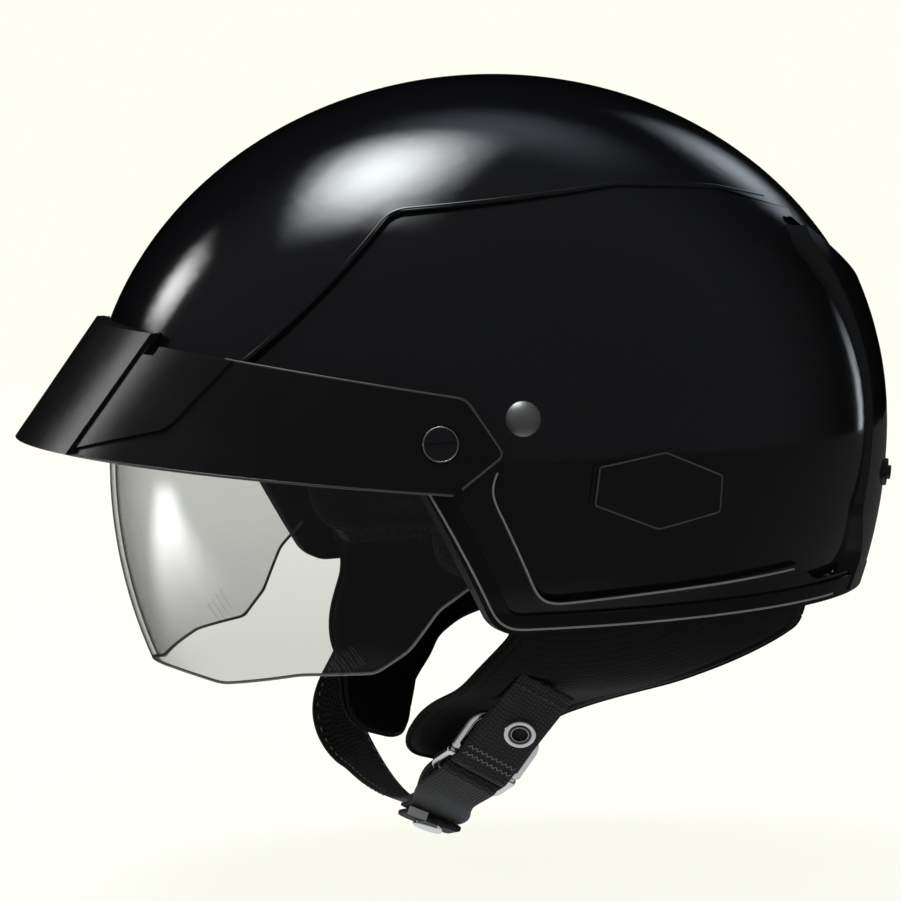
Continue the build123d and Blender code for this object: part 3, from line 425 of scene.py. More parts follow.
def smoke_polycarbonate():
    """Clear shield with a faint smoke tint that thins out upwards.

    A shallow look through the wall meets more plastic, so its turned-away edges are much darker.
    Light passes straight through, and a share of it that grows towards the edges is mirrored.
    """
    recipe = Recipe(bpy.data.materials.new("smoke_shield"))
    vector, (_, _, z) = recipe.place()
    tints = {"thin": (0.89, 0.893, 0.9, 1), "smoke": (0.81, 0.813, 0.82, 1), "edge": (0.1, 0.102, 0.108, 1)}
    clear = {name: recipe.node("ShaderNodeBsdfTransparent", inputs={"Color": tint})
             for name, tint in tints.items()}
    facing = recipe.node("ShaderNodeLayerWeight", inputs={"Blend": 0.5})
    turned = Amount(recipe, facing.outputs["Facing"])
    height = (z + shield_drop) * tint_slope + recipe.noise(vector, scale=9, detail=1) * 0.1
    wall = recipe.mixed(height.rise(-0.1, 0.9), clear["smoke"], clear["thin"])
    wall = recipe.mixed(turned.rise(0.78, 0.97), wall, clear["edge"])
    gloss = recipe.node("ShaderNodeBsdfGlossy", inputs={"Color": (1, 1, 1, 1), "Roughness": 0.12})
    return recipe.surface(recipe.mixed(turned.rise(0.3, 1.0) * 0.25 + 0.06, wall, gloss))


hard_finishes = {
    "shell_gloss": lacquer(),
    "peak_satin": satin_plastic("peak_plastic", (0.0035, 0.0035, 0.004, 1), 0.27),
    "trim_rubber": satin_plastic("trim_rubber", (0.0035, 0.0035, 0.0038, 1), 0.26, grain=1500),
    "tab_grey": satin_plastic("tab_plastic", (0.42, 0.42, 0.43, 1), 0.5),
    "hardware_black": satin_plastic("boss_plastic", (0.012, 0.012, 0.013, 1), 0.45),
    "bright_steel": metal("nickel_plate", (0.93, 0.92, 0.89, 1), 0.1),
    "rivet_grey": metal("satin_rivet", (0.62, 0.61, 0.6, 1), 0.36),
    "screw_black": metal("black_steel", (0.09, 0.09, 0.095, 1), 0.2),
    "clip_steel": metal("spring_steel", (0.4, 0.4, 0.42, 1), 0.3),
    "foam": foam(),
    "shield_clear": smoke_polycarbonate(),
}
slot_of = {part["node"]: part["material_slot"] for part in frame["record"]["subparts"]}
for node, solid in frame["nodes"].items():
    if slot_of[node] in hard_finishes:
        solid.data.materials.clear()
        solid.data.materials.append(hard_finishes[slot_of[node]])
print("finishes:", len(hard_finishes))

# %% [markdown]
# ## Cloth finishes
#
# The pads are lined with a fine ribbed mesh, the ear flaps are a dull brushed knit, and the straps
# are herringbone webbing sewn with pale thread. A picture of cloth would blur close up, so each
# weave is a sum of waves. Webbing follows the band's own UV map, in metres, so its rows stay across
# the strap where it turns. The others are patterns in space, which need no map.

# %% Knit, lining, webbing and thread
rib_pitch, rib_swing, thread_pitch = 0.0017, 0.0055, 0.0013
selvage_start, selvage_end = 0.0104, 0.0098


def knit(name, dark, light, scale, depth, roughness):
    """Cells of a small knit, from three crossing waves, over a slow change of tone."""
    recipe, close = finish_of(name, Specular_IOR_Level=0.12, Sheen_Weight=0.02, Sheen_Roughness=0.4)
    vector, (x, y, z) = recipe.place()
    up_left, up_right = y * scale + z * scale * 0.6, z * scale - y * scale * 0.6
    cells = up_left.wave() * up_right.wave() + (x * scale).wave() * 0.4
    worn = recipe.noise(vector, scale=60, detail=4)
    fuzz = recipe.noise(vector, scale=1900, detail=2)
    tone = recipe.blend(cells * 0.3 + worn * 0.7, dark, light)
    return close(Base_Color=tone, Roughness=worn * 0.1 + roughness,
                 Normal=recipe.bump(cells * 0.5 + fuzz, depth))


def woven():
    """Webbing: slanted ribs that change side at the middle of each row, and a flat selvage at both edges."""
    recipe, close = finish_of("black_webbing", Specular_IOR_Level=0.25, Sheen_Weight=0.04)
    weave = recipe.node("ShaderNodeUVMap", {"uv_map": "weave"}).outputs[0]
    parts = recipe.node("ShaderNodeSeparateXYZ", inputs={0: weave})
    across, along = Amount(recipe, parts.outputs[0]), Amount(recipe, parts.outputs[1])
    swing = (across * (2 * math.pi / rib_swing)).wave() * 1.1
    ribs = (along * (2 * math.pi / rib_pitch) + swing).wave() * 0.5 + 0.5
    threads = (across * (2 * math.pi / thread_pitch)).wave() * 0.5 + 0.5
    body = across.size().rise(selvage_start, selvage_end)
    height = ribs * threads
    vector, _ = recipe.place()
    worn = recipe.noise(vector, scale=120, detail=3)
    tone = recipe.blend(height * 0.6 + worn * 0.4, (0.001, 0.001, 0.0011, 1), (0.036, 0.035, 0.036, 1))
    return close(Base_Color=tone, Roughness=worn * 0.15 + 0.5, Normal=recipe.bump(height * body, depth=0.00035))


def thread(name, colour):
    """Twisted sewing thread, with its fibres running slantwise."""
    recipe, close = finish_of(name, Sheen_Weight=0.3)
    vector, (x, y, z) = recipe.place()
    twist = ((x + y * 0.7 + z) * 9000).wave() * 0.5 + 0.5
    fibres = recipe.noise(vector, scale=300, detail=2)
    tone = recipe.blend(twist * 0.5 + fibres * 0.5, shaded(colour, 0.6), shaded(colour, 1))
    return close(Base_Color=tone, Roughness=twist * 0.1 + 0.55, Normal=recipe.bump(twist, depth=0.00008))


soft_finishes = {
    "lining": knit("mesh_lining", dark=(0.004, 0.0036, 0.004, 1), light=(0.022, 0.02, 0.022, 1), scale=2400,
                   depth=0.0003, roughness=0.75),
    "flap_cloth": knit("brushed_knit", dark=(0.0008, 0.0007, 0.0008, 1), light=(0.011, 0.0092, 0.0102, 1),
                       scale=3600, depth=0.00012, roughness=0.62),
    "webbing": woven(),
    "pale_thread": thread("pale_thread", (0.2, 0.2, 0.195)),
    "dark_thread": thread("dark_thread", (0.03, 0.03, 0.032)),
}
print("cloths:", sorted(soft_finishes))

# %% [markdown]
# ## Tools for soft pieces
#
# A strap or a seam is easiest to describe by the line that it follows. So a smooth path comes
# first, then unit vectors along and across it, and then rings of points around it, which faces
# join into a closed mesh. Whole arrays are worked out at once, which keeps the script quick.

# %% Paths and bands
dome_half = np.array([0.119, 0.148, 0.128])
webbing_width = 0.022
webbing_thickness = 0.0018


def unit(vector):
    """Vectors made one long."""
    vector = np.asarray(vector, float)
    return vector / np.linalg.norm(vector, axis=-1, keepdims=True)


def lengths_along(path):
    """The way from a path's first point to each of its points."""
    return np.concatenate([[0], np.cumsum(np.linalg.norm(np.diff(path, axis=0), axis=1))])


def rows_at(rows, lengths, spots):
    """Rows in between others, by straight lines, where each row lies at its own length along a path."""
    return np.stack([np.interp(spots, lengths, rows[:, i]) for i in range(rows.shape[1])], -1)


def with_x(x, places):
    """Points from their x and their places in y and z."""
    return np.stack([x, *places.T], -1)


def smooth_path(points, count, first_way, last_way):
    """Points of a curve through given points, whose bend changes without jumps.

    Between neighbours it is a cubic. With chords of length h and slope d, the slopes m at the points
    solve h1 m0 + 2 (h0 + h1) m1 + h0 m2 = 3 (h1 d0 + h0 d1). Both end slopes are given.
    """
    points = np.asarray(points, float)
    chords = np.diff(points, axis=0)
    h = np.linalg.norm(chords, axis=1)
    d = chords / h[:, None]
    inner = np.arange(1, len(points) - 1)
    system = np.eye(len(points))
    system[inner, inner - 1], system[inner, inner + 1] = h[1:], h[:-1]
    system[inner, inner] = 2 * (h[:-1] + h[1:])
    wanted = np.zeros_like(points)
    wanted[0], wanted[-1] = unit(first_way), unit(last_way)
    wanted[1:-1] = 3 * (h[1:, None] * d[:-1] + h[:-1, None] * d[1:])
    slopes = np.linalg.solve(system, wanted)
    knots = np.concatenate([[0], np.cumsum(h)])
    along = np.linspace(0, knots[-1], count)
    cell = np.clip(np.searchsorted(knots, along, side="right") - 1, 0, len(h) - 1)
    t = ((along - knots[cell]) / h[cell])[:, None]
    ends = slopes[cell] * h[cell, None], slopes[cell + 1] * h[cell, None]
    return ((2 * t**3 - 3 * t**2 + 1) * points[cell] + (t**3 - 2 * t**2 + t) * ends[0]
            + (3 * t**2 - 2 * t**3) * points[cell + 1] + (t**3 - t**2) * ends[1])


def arc(centre, from_way, to_way, radius, count, turn=np.pi):
    """Points of a turn: centre + radius (cos a from_way + sin a to_way), for a from 0 to turn."""
    a = np.linspace(0, turn, count)[:, None]
    return centre + radius * (np.cos(a) * from_way + np.sin(a) * to_way)


def frames_along(path, across):
    """Unit vectors along the path, across the band and out of its face, at every point."""
    along = unit(np.gradient(path, axis=0))
    across = unit(across - along * np.sum(across * along, axis=1, keepdims=True))
    return along, across, np.cross(across, along)


def tube_faces(rings, around):
    """Quads between neighbouring rings of points, and a fan of one face at each end."""
    ring, point = np.meshgrid(np.arange(rings - 1), np.arange(around), indexing="ij")
    after = (point + 1) % around
    quads = np.stack([ring * around + point, ring * around + after, (ring + 1) * around + after,
                      (ring + 1) * around + point], -1).reshape(-1, 4)
    return quads.tolist() + [list(range(around))[::-1], list(range((rings - 1) * around, rings * around))]


def band(name, path, across, width, thickness, material, around=28, edge_power=0.35):
    """A flat band along a path.

    Round its section, the angle a gives the place width / 2 * c(a) across and thickness / 2 * s(a) out,
    where c and s are cosine and sine, each raised to edge_power with its sign kept: nearly a box.
    """
    _, across, out = frames_along(path, across)
    a = np.linspace(0, 2 * np.pi, around, endpoint=False)
    sideways = np.sign(np.cos(a)) * np.abs(np.cos(a)) ** edge_power * width / 2
    upward = np.sign(np.sin(a)) * np.abs(np.sin(a)) ** edge_power * thickness / 2
    points = path[:, None] + across[:, None] * sideways[:, None] + out[:, None] * upward[:, None]
    piece = mesh_piece(name, points.reshape(-1, 3), tube_faces(len(path), around), material)
    weave = np.stack(np.broadcast_arrays(sideways[None, :], lengths_along(path)[:, None]), -1).reshape(-1, 2)
    corner = np.empty(len(piece.data.loops), int)
    piece.data.loops.foreach_get("vertex_index", corner)
    piece.data.uv_layers.new(name="weave").data.foreach_set("uv", weave[corner].ravel())
    fix_outside(piece.data)
    return piece


def fix_outside(mesh):
    """Turns all faces over if the volume that they enclose comes out negative."""
    shape = bmesh.new()
    shape.from_mesh(mesh)
    if shape.calc_volume(signed=True) < 0:
        bmesh.ops.reverse_faces(shape, faces=shape.faces)
        shape.to_mesh(mesh)
    shape.free()


print("a ring of four points, twice, closes into", len(tube_faces(2, 4)), "faces")

# %% [markdown]
# ## Frame of the buckle
#
# The buckle hangs at a slant, so its parts are laid out in its own three directions: across the
# webbing, up along the left strap, and out of its face. They follow from where the strap leaves
# the flap, where it is folded, and which way its width points.

# %% Frame of the buckle
seam = dome_half * (0.672, -0.057, -0.672)
fold = dome_half * (0.479, -0.162, -0.922)
buckle_across = unit((0.094, 0.866, -0.492))
climb = seam - fold - buckle_across * np.dot(seam - fold, buckle_across)
strap_length = np.linalg.norm(climb)
up = unit(climb)
out = np.cross(buckle_across, up)
ring_wire, ring_reach, bar_gap, bar_spacing = 0.0026, 0.014, 0.0003, 0.0008
ring_tilt = np.radians(30)
slot_height = ring_wire + 2 * bar_gap
bar_depth = webbing_thickness + slot_height / 2
loop_radius = slot_height / 2 + webbing_thickness
low_bar = fold - out * bar_depth
low_way = -up * np.cos(ring_tilt) - out * np.sin(ring_tilt)
ring_out = out * np.cos(ring_tilt) - up * np.sin(ring_tilt)


def on_buckle(upward, outward):
    """Places in the buckle's frame: fold + upward * up + outward * out."""
    return fold + upward[:, None] * up + outward * out


print("the left strap climbs", round(strap_length * 1000, 1), "mm from its fold")

# %% [markdown]
# ## Padded pieces
#
# The comfort pads and ear flaps are cloth over thin foam. Each is worked out as two faces that
# meet in a rounded edge, over rings that shrink from its outline to its middle. The pads are then
# swollen by Cloth with pressure, without gravity, and a cap on the movement stands for the liner
# and the head that hold them. The rings are already even cells, so no remesh is needed first.


# %% Closed forms between two faces
def rounded(outline, rounding, count):
    """Even points round a closed outline, each the mean of its neighbours within the rounding."""
    closed = np.concatenate([outline, outline[:1]])
    lengths = lengths_along(closed)
    points = rows_at(closed, lengths, np.linspace(0, lengths[-1], count, endpoint=False))
    reach = max(1, int(round(rounding / (lengths[-1] / count))))
    return np.mean([np.roll(points, shift, axis=0) for shift in range(-reach, reach + 1)], axis=0)


def cushion_rings(outline, middle, rings, roll):
    """Places and thickness shares of a closed padded form over a flat outline.

    The share s runs from 0 in the middle to 1 on the outline: place = middle + s * (outline - middle).
    The thickness is 1 up to s = 1 - roll, and then sqrt(1 - ((s - 1 + roll) / roll)^2), a round edge.
    """
    rim = rings // 4
    s = np.concatenate([np.linspace(0.02, 1 - roll, rings - rim),
                        1 - roll + roll * np.sin(np.linspace(0.4, np.pi / 2, rim))])
    wall = np.sqrt(np.clip(1 - (np.clip(s - 1 + roll, 0, None) / roll) ** 2, 0, None))
    places = middle + s[:, None, None] * (outline - middle)
    return places, wall, s


def sewn(s, depth, at, reach):
    """How deep a seam sinks each ring: depth * exp(-((s - at) / reach)^2)."""
    return depth * np.exp(-(((s - at) / reach) ** 2))[:, None]


def closed_form(name, face, back, material):
    """A mesh from two stacks of rings, face and back, that share their outermost ring."""
    around = face.shape[1]
    rings = np.concatenate([face, back[-2::-1]])
    piece = mesh_piece(name, rings.reshape(-1, 3), tube_faces(len(rings), around), material)
    fix_outside(piece.data)
    return piece


print("a rounded square has", len(rounded(np.array([(0, 0), (1, 0), (1, 1), (0, 1)]), 0.1, 40)), "points")

# %% Comfort pads
head_half = np.array([0.075, 0.099, 0.092])
pad_back_gap, pad_face_gap, pad_side_gap, pad_seam_depth = 0.0084, 0.001, 0.006, 0.0012
swell_steps, cloth_pressure, most_swell = 20, 4, 0.0007


def read_points(mesh):
    """The mesh's points as rows of an array."""
    flat = np.empty(len(mesh.vertices) * 3)
    mesh.vertices.foreach_get("co", flat)
    return flat.reshape(-1, 3)


def swell(piece):
    """Blows closed cloth up, and keeps each point's move d as d * min(1, most_swell / |d|)."""
    start = read_points(piece.data)
    cloth = piece.modifiers.new("swelling", "CLOTH")
    cloth.settings.effector_weights.gravity = 0
    cloth.settings.use_pressure = True
    cloth.settings.uniform_pressure_force = cloth_pressure
    cloth.point_cache.frame_start, cloth.point_cache.frame_end = 1, swell_steps
    for step in range(1, swell_steps + 1):
        bpy.context.scene.frame_set(step)
    blown = piece.evaluated_get(bpy.context.evaluated_depsgraph_get())
    move = read_points(blown.data) - start
    piece.modifiers.clear()
    bpy.context.scene.frame_set(1)
    length = np.linalg.norm(move, axis=1, keepdims=True)
    points = start + move * np.minimum(1, most_swell / np.maximum(length, 1e-9))
    piece.data.vertices.foreach_set("co", points.ravel())
    piece.data.update()


def comfort_pad(place, hand, axis, side, middle, half_size):
    """A pad between two ellipsoids, seen along one axis.

    At a place (a, b) across the other two axes, an ellipsoid with half sizes h is at
    side * h0 * sqrt(1 - (a / h1)^2 - (b / h2)^2). The pad's middle lies halfway between both, and its
    walls move from there by the thickness share. A sewn seam sinks the face at four fifths of the way.
    """
    others = [i for i in range(3) if i != axis]
    corners = np.array([(-1, -1), (1, -1), (1, 1), (-1, 1)], float) * half_size
    places, wall, s = cushion_rings(rounded(corners, rounding=0.014, count=44), np.zeros(2), rings=14, roll=0.1)
    places = places + middle
    face_gaps = np.where(np.arange(3) == axis, pad_face_gap, pad_side_gap)

    def depth(gaps):
        half = head_half + gaps
        square = 1 - (places[..., 0] / half[others[0]]) ** 2 - (places[..., 1] / half[others[1]]) ** 2
        return side * half[axis] * np.sqrt(np.clip(square, 0, None))

    back, face = depth(pad_back_gap), depth(face_gaps)
    centre, reach = (back + face) / 2, (back - face) / 2
    seam = sewn(s, pad_seam_depth, at=0.8, reach=0.06) * side
    stacks = []
    for way in (-1, 1):
        stack = np.empty((*centre.shape, 3))
        stack[..., others[0]], stack[..., others[1]] = places[..., 0], places[..., 1]
        stack[..., axis] = centre + way * reach * wall[:, None] + (seam if way < 0 else 0)
        stacks.append(stack)
    piece = closed_form(f"{place}_cushion{hand}", *stacks, soft_finishes["lining"])
    swell(piece)
    rounding = piece.modifiers.new("rounding", "SUBSURF")
    rounding.levels = rounding.render_levels = 1
    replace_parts(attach(piece, "helmet"), f"{place}_pad{hand}")
    print(piece.name, "has", len(piece.data.vertices), "points")


# place, hand, axis, side, middle across and half size across, both in metres
pads = [
    ("crown", "", 2, 1, (0, 0), (0.049, 0.059)),
    ("brow", "", 1, -1, (0, 0.023), (0.051, 0.0182)),
    ("nape", "", 1, 1, (0, -0.028), (0.049, 0.0192)),
    ("side", "_left", 0, 1, (0.002, -0.012), (0.049, 0.035)),
    ("side", "_right", 0, -1, (0.002, -0.012), (0.049, 0.035)),
]
for pad in pads:
    comfort_pad(*pad)

# %% [markdown]
# ## Ear flaps
#
# An ear flap is a soft tongue of knit over thin foam. It hangs from inside the shell, leans in
# under the jaw, and its edge is bound and sewn. Seen from the side it has a plain outline, so it
# is made over that outline, and a curve of lean against height bends it inwards. The strap that
# is sewn on the left flap presses a seat into it.

# %% Lean, thickness and outline
hands = (("left", 1), ("right", -1))
flap_half_width, flap_half_length, flap_thickness = 0.0995, 0.125, 0.005
# share of the dome's height, lean as a share of the half width, and wall as a share of the thickness
flap_lean = np.array([
    (-0.3, 0, 1), (-0.41, 0, 1), (-0.5, 0.04, 1.1), (-0.625, 0.15, 1.4), (-0.6875, 0.256, 1.6),
    (-0.75, 0.43, 1.7), (-0.844, 0.558, 1.6), (-0.969, 0.729, 1.4)])
flap_outline = np.array([
    (-0.0237, -0.0517), (-0.0246, -0.064), (-0.0333, -0.078), (-0.0428, -0.1006), (-0.044, -0.1088),
    (-0.0404, -0.1142), (-0.0148, -0.1209), (-0.0067, -0.1182), (0, -0.1076), (0.01, -0.0999),
    (0.0223, -0.0954), (0.0574, -0.0845), (0.1052, -0.072), (0.1058, -0.0505)])
far_front = [(-0.0265, -0.1182), (-0.0215, -0.116), (-0.017, -0.104), (-0.009, -0.097), (0.005, -0.088),
             (0.018, -0.082), (0.035, -0.077), (0.06, -0.071), (0.1052, -0.066)]
far_outline = np.concatenate([flap_outline[:6], far_front, flap_outline[-1:]])
flap_middle = np.array([0.005, -0.068])
flap_rounding, flap_points, flap_seam_depth = 0.003, 320, 0.0007
lean_curve = smooth_path(flap_lean, 200, flap_lean[1] - flap_lean[0], flap_lean[-1] - flap_lean[-2])


def flap_faces(y, z):
    """The flap's outer and inner x at y and z.

    The outer face is at half width * sqrt(1 - (y / half length)^2) - lean(z), and the inner face
    lies a wall further in.
    """
    height = -z / dome_half[2]
    lean = np.interp(height, -lean_curve[:, 0], lean_curve[:, 1]) * flap_half_width
    wall = np.interp(height, -lean_curve[:, 0], lean_curve[:, 2]) * flap_thickness
    outer = flap_half_width * np.sqrt(1 - (y / flap_half_length) ** 2) - lean
    return outer, outer - wall


def ramp(value, width):
    """0 below nothing, 1 above the width, and straight between."""
    return np.clip(value / width, 0, 1)


def pressed(points, floor):
    """Moves points under the sewn strap down to floor below its face, in the buckle's frame."""
    away = points - fold
    upward, sideways, outward = away @ up, away @ buckle_across, away @ out
    inside = (ramp(0.0128 - np.abs(sideways), 0.0016) * ramp(upward + 0.003, 0.002)
              * ramp(strap_length + 0.0042 - upward, 0.0016))
    return points - (np.clip(outward + floor, 0, None) * inside)[..., None] * out


def ear_flap(hand, side, outline):
    """A flap over an outline in y and z, with a seam that sinks both faces near its edge."""
    outline = rounded(outline, flap_rounding, flap_points)
    places, wall, s = cushion_rings(outline, flap_middle, rings=46, roll=0.045)
    y, z = places[..., 0], places[..., 1]
    outer, inner = flap_faces(y, z)
    centre, reach = (outer + inner) / 2, (outer - inner) / 2
    seam = sewn(s, flap_seam_depth, at=0.9, reach=0.012)
    face = np.stack([centre + reach * wall[:, None] - seam, y, z], -1)
    back = np.stack([centre - reach * wall[:, None] + seam, y, z], -1)
    if hand == "left":
        face, back = pressed(face, 0.0022), pressed(back, 0.0032)
    way = (side, 1, 1)
    flap = closed_form(f"flap_cloth_{hand}", face * way, back * way, soft_finishes["flap_cloth"])
    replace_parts(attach(flap, "helmet"), f"ear_flap_{hand}")
    return flap


flaps = [ear_flap(*which, outline) for which, outline in zip(hands, (flap_outline, far_outline))]
print("flap points:", [len(flap.data.vertices) for flap in flaps])

# %% [markdown]
# ## Webbing
#
# The chin strap is flat woven webbing, so it is a rounded flat section carried along a path. The
# path passes through the same places as the solid's. The right strap comes down inside the far
# flap, runs under the chin, passes through the lower ring, turns round its end and comes back
# below itself as a tail. The left strap is folded round the bars of both rings and sewn.

# %% Left strap, folded round both bars
bend = loop_radius - webbing_thickness / 2
second_bar = ring_wire + bar_spacing
down = on_buckle(np.linspace(strap_length + 0.002, 0.0005, 40), -webbing_thickness / 2)
lower_turn = arc(fold - out * bar_depth, out, -up, bend, 14)
upper_turn = arc(fold - out * bar_depth + up * second_bar, -out, up, bend, 14)[:10]
home = on_buckle(np.linspace(0.0095, 0.025, 16), -webbing_thickness * 1.5)
left_path = np.concatenate([down, lower_turn, upper_turn, home])
left_across = np.broadcast_to(buckle_across, left_path.shape)
left_strap = band("chin_webbing_left", left_path, left_across, webbing_width, webbing_thickness,
                  soft_finishes["webbing"])
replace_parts(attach(left_strap, "helmet"), "chin_strap_left")
print("left webbing:", round(lengths_along(left_path)[-1] * 1000), "mm with its fold")

# %% Right strap, under the chin and through the lower ring
run_count, tail_count, turn_share = 120, 50, 0.6
ring_rock = np.radians(3)
# the two points of the run below which the tail lies
tail_spots = (92, 81)
chin_places = dome_half * np.array([
    (-0.723, -0.108, -0.68), (-0.622, -0.182, -0.79), (-0.521, -0.25, -0.915), (-0.45, -0.21, -1.025),
    (-0.35, -0.185, -1.08), (-0.235, -0.165, -1.105), (-0.067, -0.15, -1.105), (0.118, -0.153, -1.06)])
end_reach = ring_wire * 1.5 + ring_reach
turn_radius = ring_wire / 2 + end_reach * np.sin(ring_rock) + bar_gap + webbing_thickness / 2
turn_middle = low_bar + low_way * (loop_radius + 0.001 + turn_radius + webbing_thickness / 2)
lead = low_way * (end_reach + 0.008)
run_places = [*chin_places, low_bar + lead - ring_out * turn_radius, turn_middle - ring_out * turn_radius]
run = smooth_path(run_places, run_count, chin_places[1] - chin_places[0], -low_way)
share = np.linspace(0, 1, run_count)[:, None]
far_across, chin_across = np.array((-0.127, 0.861, -0.492)), np.array((0.1, 0.93, -0.35))
early = np.minimum(share / turn_share, 1)
late = np.maximum((share - turn_share) / (1 - turn_share), 0)
run_across = np.where(share < turn_share, far_across * (1 - early) + chin_across * early,
                      chin_across * (1 - late) + buckle_across * late)
run_along, run_sideways, _ = frames_along(run, run_across)
run_out = np.cross(run_along, run_sideways)
tail_places = [turn_middle + ring_out * turn_radius, low_bar + lead + ring_out * turn_radius,
               *[run[spot] - run_out[spot] * (webbing_thickness + 0.001) for spot in tail_spots]]
tail = smooth_path(tail_places, tail_count, low_way, -run_along[tail_spots[-1]])
share = np.linspace(0, 1, tail_count)[:, None]
tail_across = buckle_across * (1 - share) + run_sideways[tail_spots[-1]] * share
turn = arc(turn_middle, -ring_out, -low_way, turn_radius, 16)[1:-1]
right_path = np.concatenate([run, turn, tail])
right_across = np.concatenate([run_across, np.broadcast_to(buckle_across, turn.shape), tail_across])
right_strap = band("chin_webbing_right", right_path, right_across, webbing_width, webbing_thickness,
                   soft_finishes["webbing"])
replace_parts(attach(right_strap, "helmet"), "chin_strap_right")
print("webbing:", round(strap_length * 1000), "mm and", round(lengths_along(right_path)[-1] * 1000), "mm")

# %% [markdown]
# ## Hangers, hem and edges
#
# Inside the shell each rivet holds a short hanger of webbing. The free end of the chin strap is
# folded into a thick hem, which the plain tab clips on. The flaps' edges are bound with a soft
# cord, which gives them their clean dark line in the photograph.

# %% Hangers and hem
hanger_half = dome_half - 0.0051
hanger_places = np.linspace((-0.0295, 0.0225), (-0.0152, -0.053), 30)
flat_share = (hanger_places[:, 0] / hanger_half[1]) ** 2 + (hanger_places[:, 1] / hanger_half[2]) ** 2
hanger_path = with_x(hanger_half[0] * np.sqrt(1 - flat_share), hanger_places)
hanger_across = np.broadcast_to(np.array((0, 1.0, 0.18)), hanger_path.shape)
for hand, side in hands:
    hanger = band(f"hanger_webbing_{hand}", hanger_path * (side, 1, 1), hanger_across, 0.019, 0.0012,
                  soft_finishes["webbing"])
    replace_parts(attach(hanger, "helmet"), f"hanger_strap_{hand}")

hem_low, hem_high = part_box("strap_hem")
hem_middle = (np.array(hem_low) + np.array(hem_high)) / 2
tail_along, tail_sideways, _ = frames_along(tail, tail_across)
# the tail's point over which the hem lies
hem_at = 45
hem_path = hem_middle + np.linspace(-0.0053, 0.0053, 12)[:, None] * tail_along[hem_at]
hem_across = np.broadcast_to(tail_sideways[hem_at], hem_path.shape)
hem = band("strap_hem_fold", hem_path, hem_across, 0.0216, 0.0029, soft_finishes["webbing"], edge_power=0.45)
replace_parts(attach(hem, "helmet"), "strap_hem")
print("hem folded", round(lengths_along(tail)[hem_at] * 1000, 1), "mm along the tail")


# %% Bound edges of the flaps
def tube(name, path, radius, material, around=12):
    """A round cord along a path: path + radius (cos a * side + sin a * out) for a round the circle."""
    along = unit(np.gradient(path, axis=0))
    side = unit(np.cross(along, (0.3, 0.1, 1)))
    out_way = np.cross(along, side)
    a = np.linspace(0, 2 * np.pi, around, endpoint=False)
    circle = np.cos(a)[:, None] * side[:, None] + np.sin(a)[:, None] * out_way[:, None]
    points = (path[:, None] + radius * circle).reshape(-1, 3)
    piece = mesh_piece(name, points, tube_faces(len(path), around), material)
    fix_outside(piece.data)
    return piece


# the cord stops where the edge goes up inside the shell
for (hand, side), outline, last in zip(hands, (flap_outline, far_outline), (270, 262)):
    edge_places = rounded(outline, flap_rounding, flap_points)
    edge_outer, edge_inner = flap_faces(edge_places[:, 0], edge_places[:, 1])
    edge_path = with_x((edge_outer * 0.55 + edge_inner * 0.45) * side, edge_places)[4:last]
    cord = tube(f"flap_binding_{hand}", edge_path, 0.0011, soft_finishes["flap_cloth"])
    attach(cord, "helmet")
    print(hand, "binding from", edge_path[0].round(3), "to", edge_path[-1].round(3))

# %% [markdown]
# ## Stitches
#
# Each stitch is the same small bead of thread, laid by the hundred along a seam. One bead has a
# few dozen faces, and one array product turns and places every copy, so a whole seam is one mesh.

# %% A bead of thread, and seams made of it
bead_rings, bead_around = 5, 6
bead_t = np.linspace(-1, 1, bead_rings)
bead_a = np.linspace(0, 2 * np.pi, bead_around, endpoint=False)
bead_width = np.sqrt(1 - (bead_t * 0.93) ** 2)
bead = np.stack(np.broadcast_arrays(bead_t[:, None] * 0.5, bead_width[:, None] * np.cos(bead_a) * 0.5,
                                    bead_width[:, None] * np.sin(bead_a) * 0.5), -1).reshape(-1, 3)
bead_faces = tube_faces(bead_rings, bead_around)


def stitches(name, centres, along, lift, length, width, finish):
    """One mesh of beads: centre + length * t * along + width * (c * side + s * lift), for every stitch."""
    along = unit(along)
    side = unit(np.cross(lift, along))
    lift = np.cross(along, side)
    axes = np.stack([along * length, side * width, lift * width], 1)
    points = centres[:, None] + np.einsum("pk,nkj->npj", bead, axes)
    faces = [[corner + i * len(bead) for corner in face] for i in range(len(centres)) for face in bead_faces]
    piece = mesh_piece(name, points.reshape(-1, 3), faces, soft_finishes[finish])
    fix_outside(piece.data)
    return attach(piece, "helmet")


def seam_along(path, across, offset, pitch, first, last):
    """Even places along a band at an offset across it, with the path's direction and the face's way out."""
    along, sideways, outward = frames_along(path, across)
    lengths = lengths_along(path)
    spots = np.arange(first * lengths[-1], last * lengths[-1], pitch)
    centres = rows_at(path + sideways * offset, lengths, spots)
    return centres, unit(rows_at(along, lengths, spots)), unit(rows_at(outward, lengths, spots))


# both edges of the right strap are sewn, on both faces, up to the chin
face_reach = 0.00085
for count, offset in enumerate((-0.0093, 0.0093)):
    spots, along, outward = seam_along(run, run_across, offset, pitch=0.0031, first=0.02, last=0.56)
    both = np.concatenate([spots + outward * face_reach, spots - outward * face_reach])
    stitches(f"strap_edge_seam_{count}", both, np.tile(along, (2, 1)), np.tile(outward, (2, 1)),
             0.0019, 0.00055, "pale_thread")
    print("edge seam", count, "has", len(both), "stitches")


def zigzag(upward, reach, height, pitch):
    """Ends of a zigzag row across the left strap, in the buckle's frame: its middle line at upward."""
    steps = int(2 * reach / pitch)
    sideways = np.linspace(-reach, reach, steps + 1)
    rise = upward + height / 2 * np.where(np.arange(steps + 1) % 2, 1, -1)
    corners = fold + sideways[:, None] * buckle_across + rise[:, None] * up + out * 0.0001
    return (corners[:-1] + corners[1:]) / 2, corners[1:] - corners[:-1]


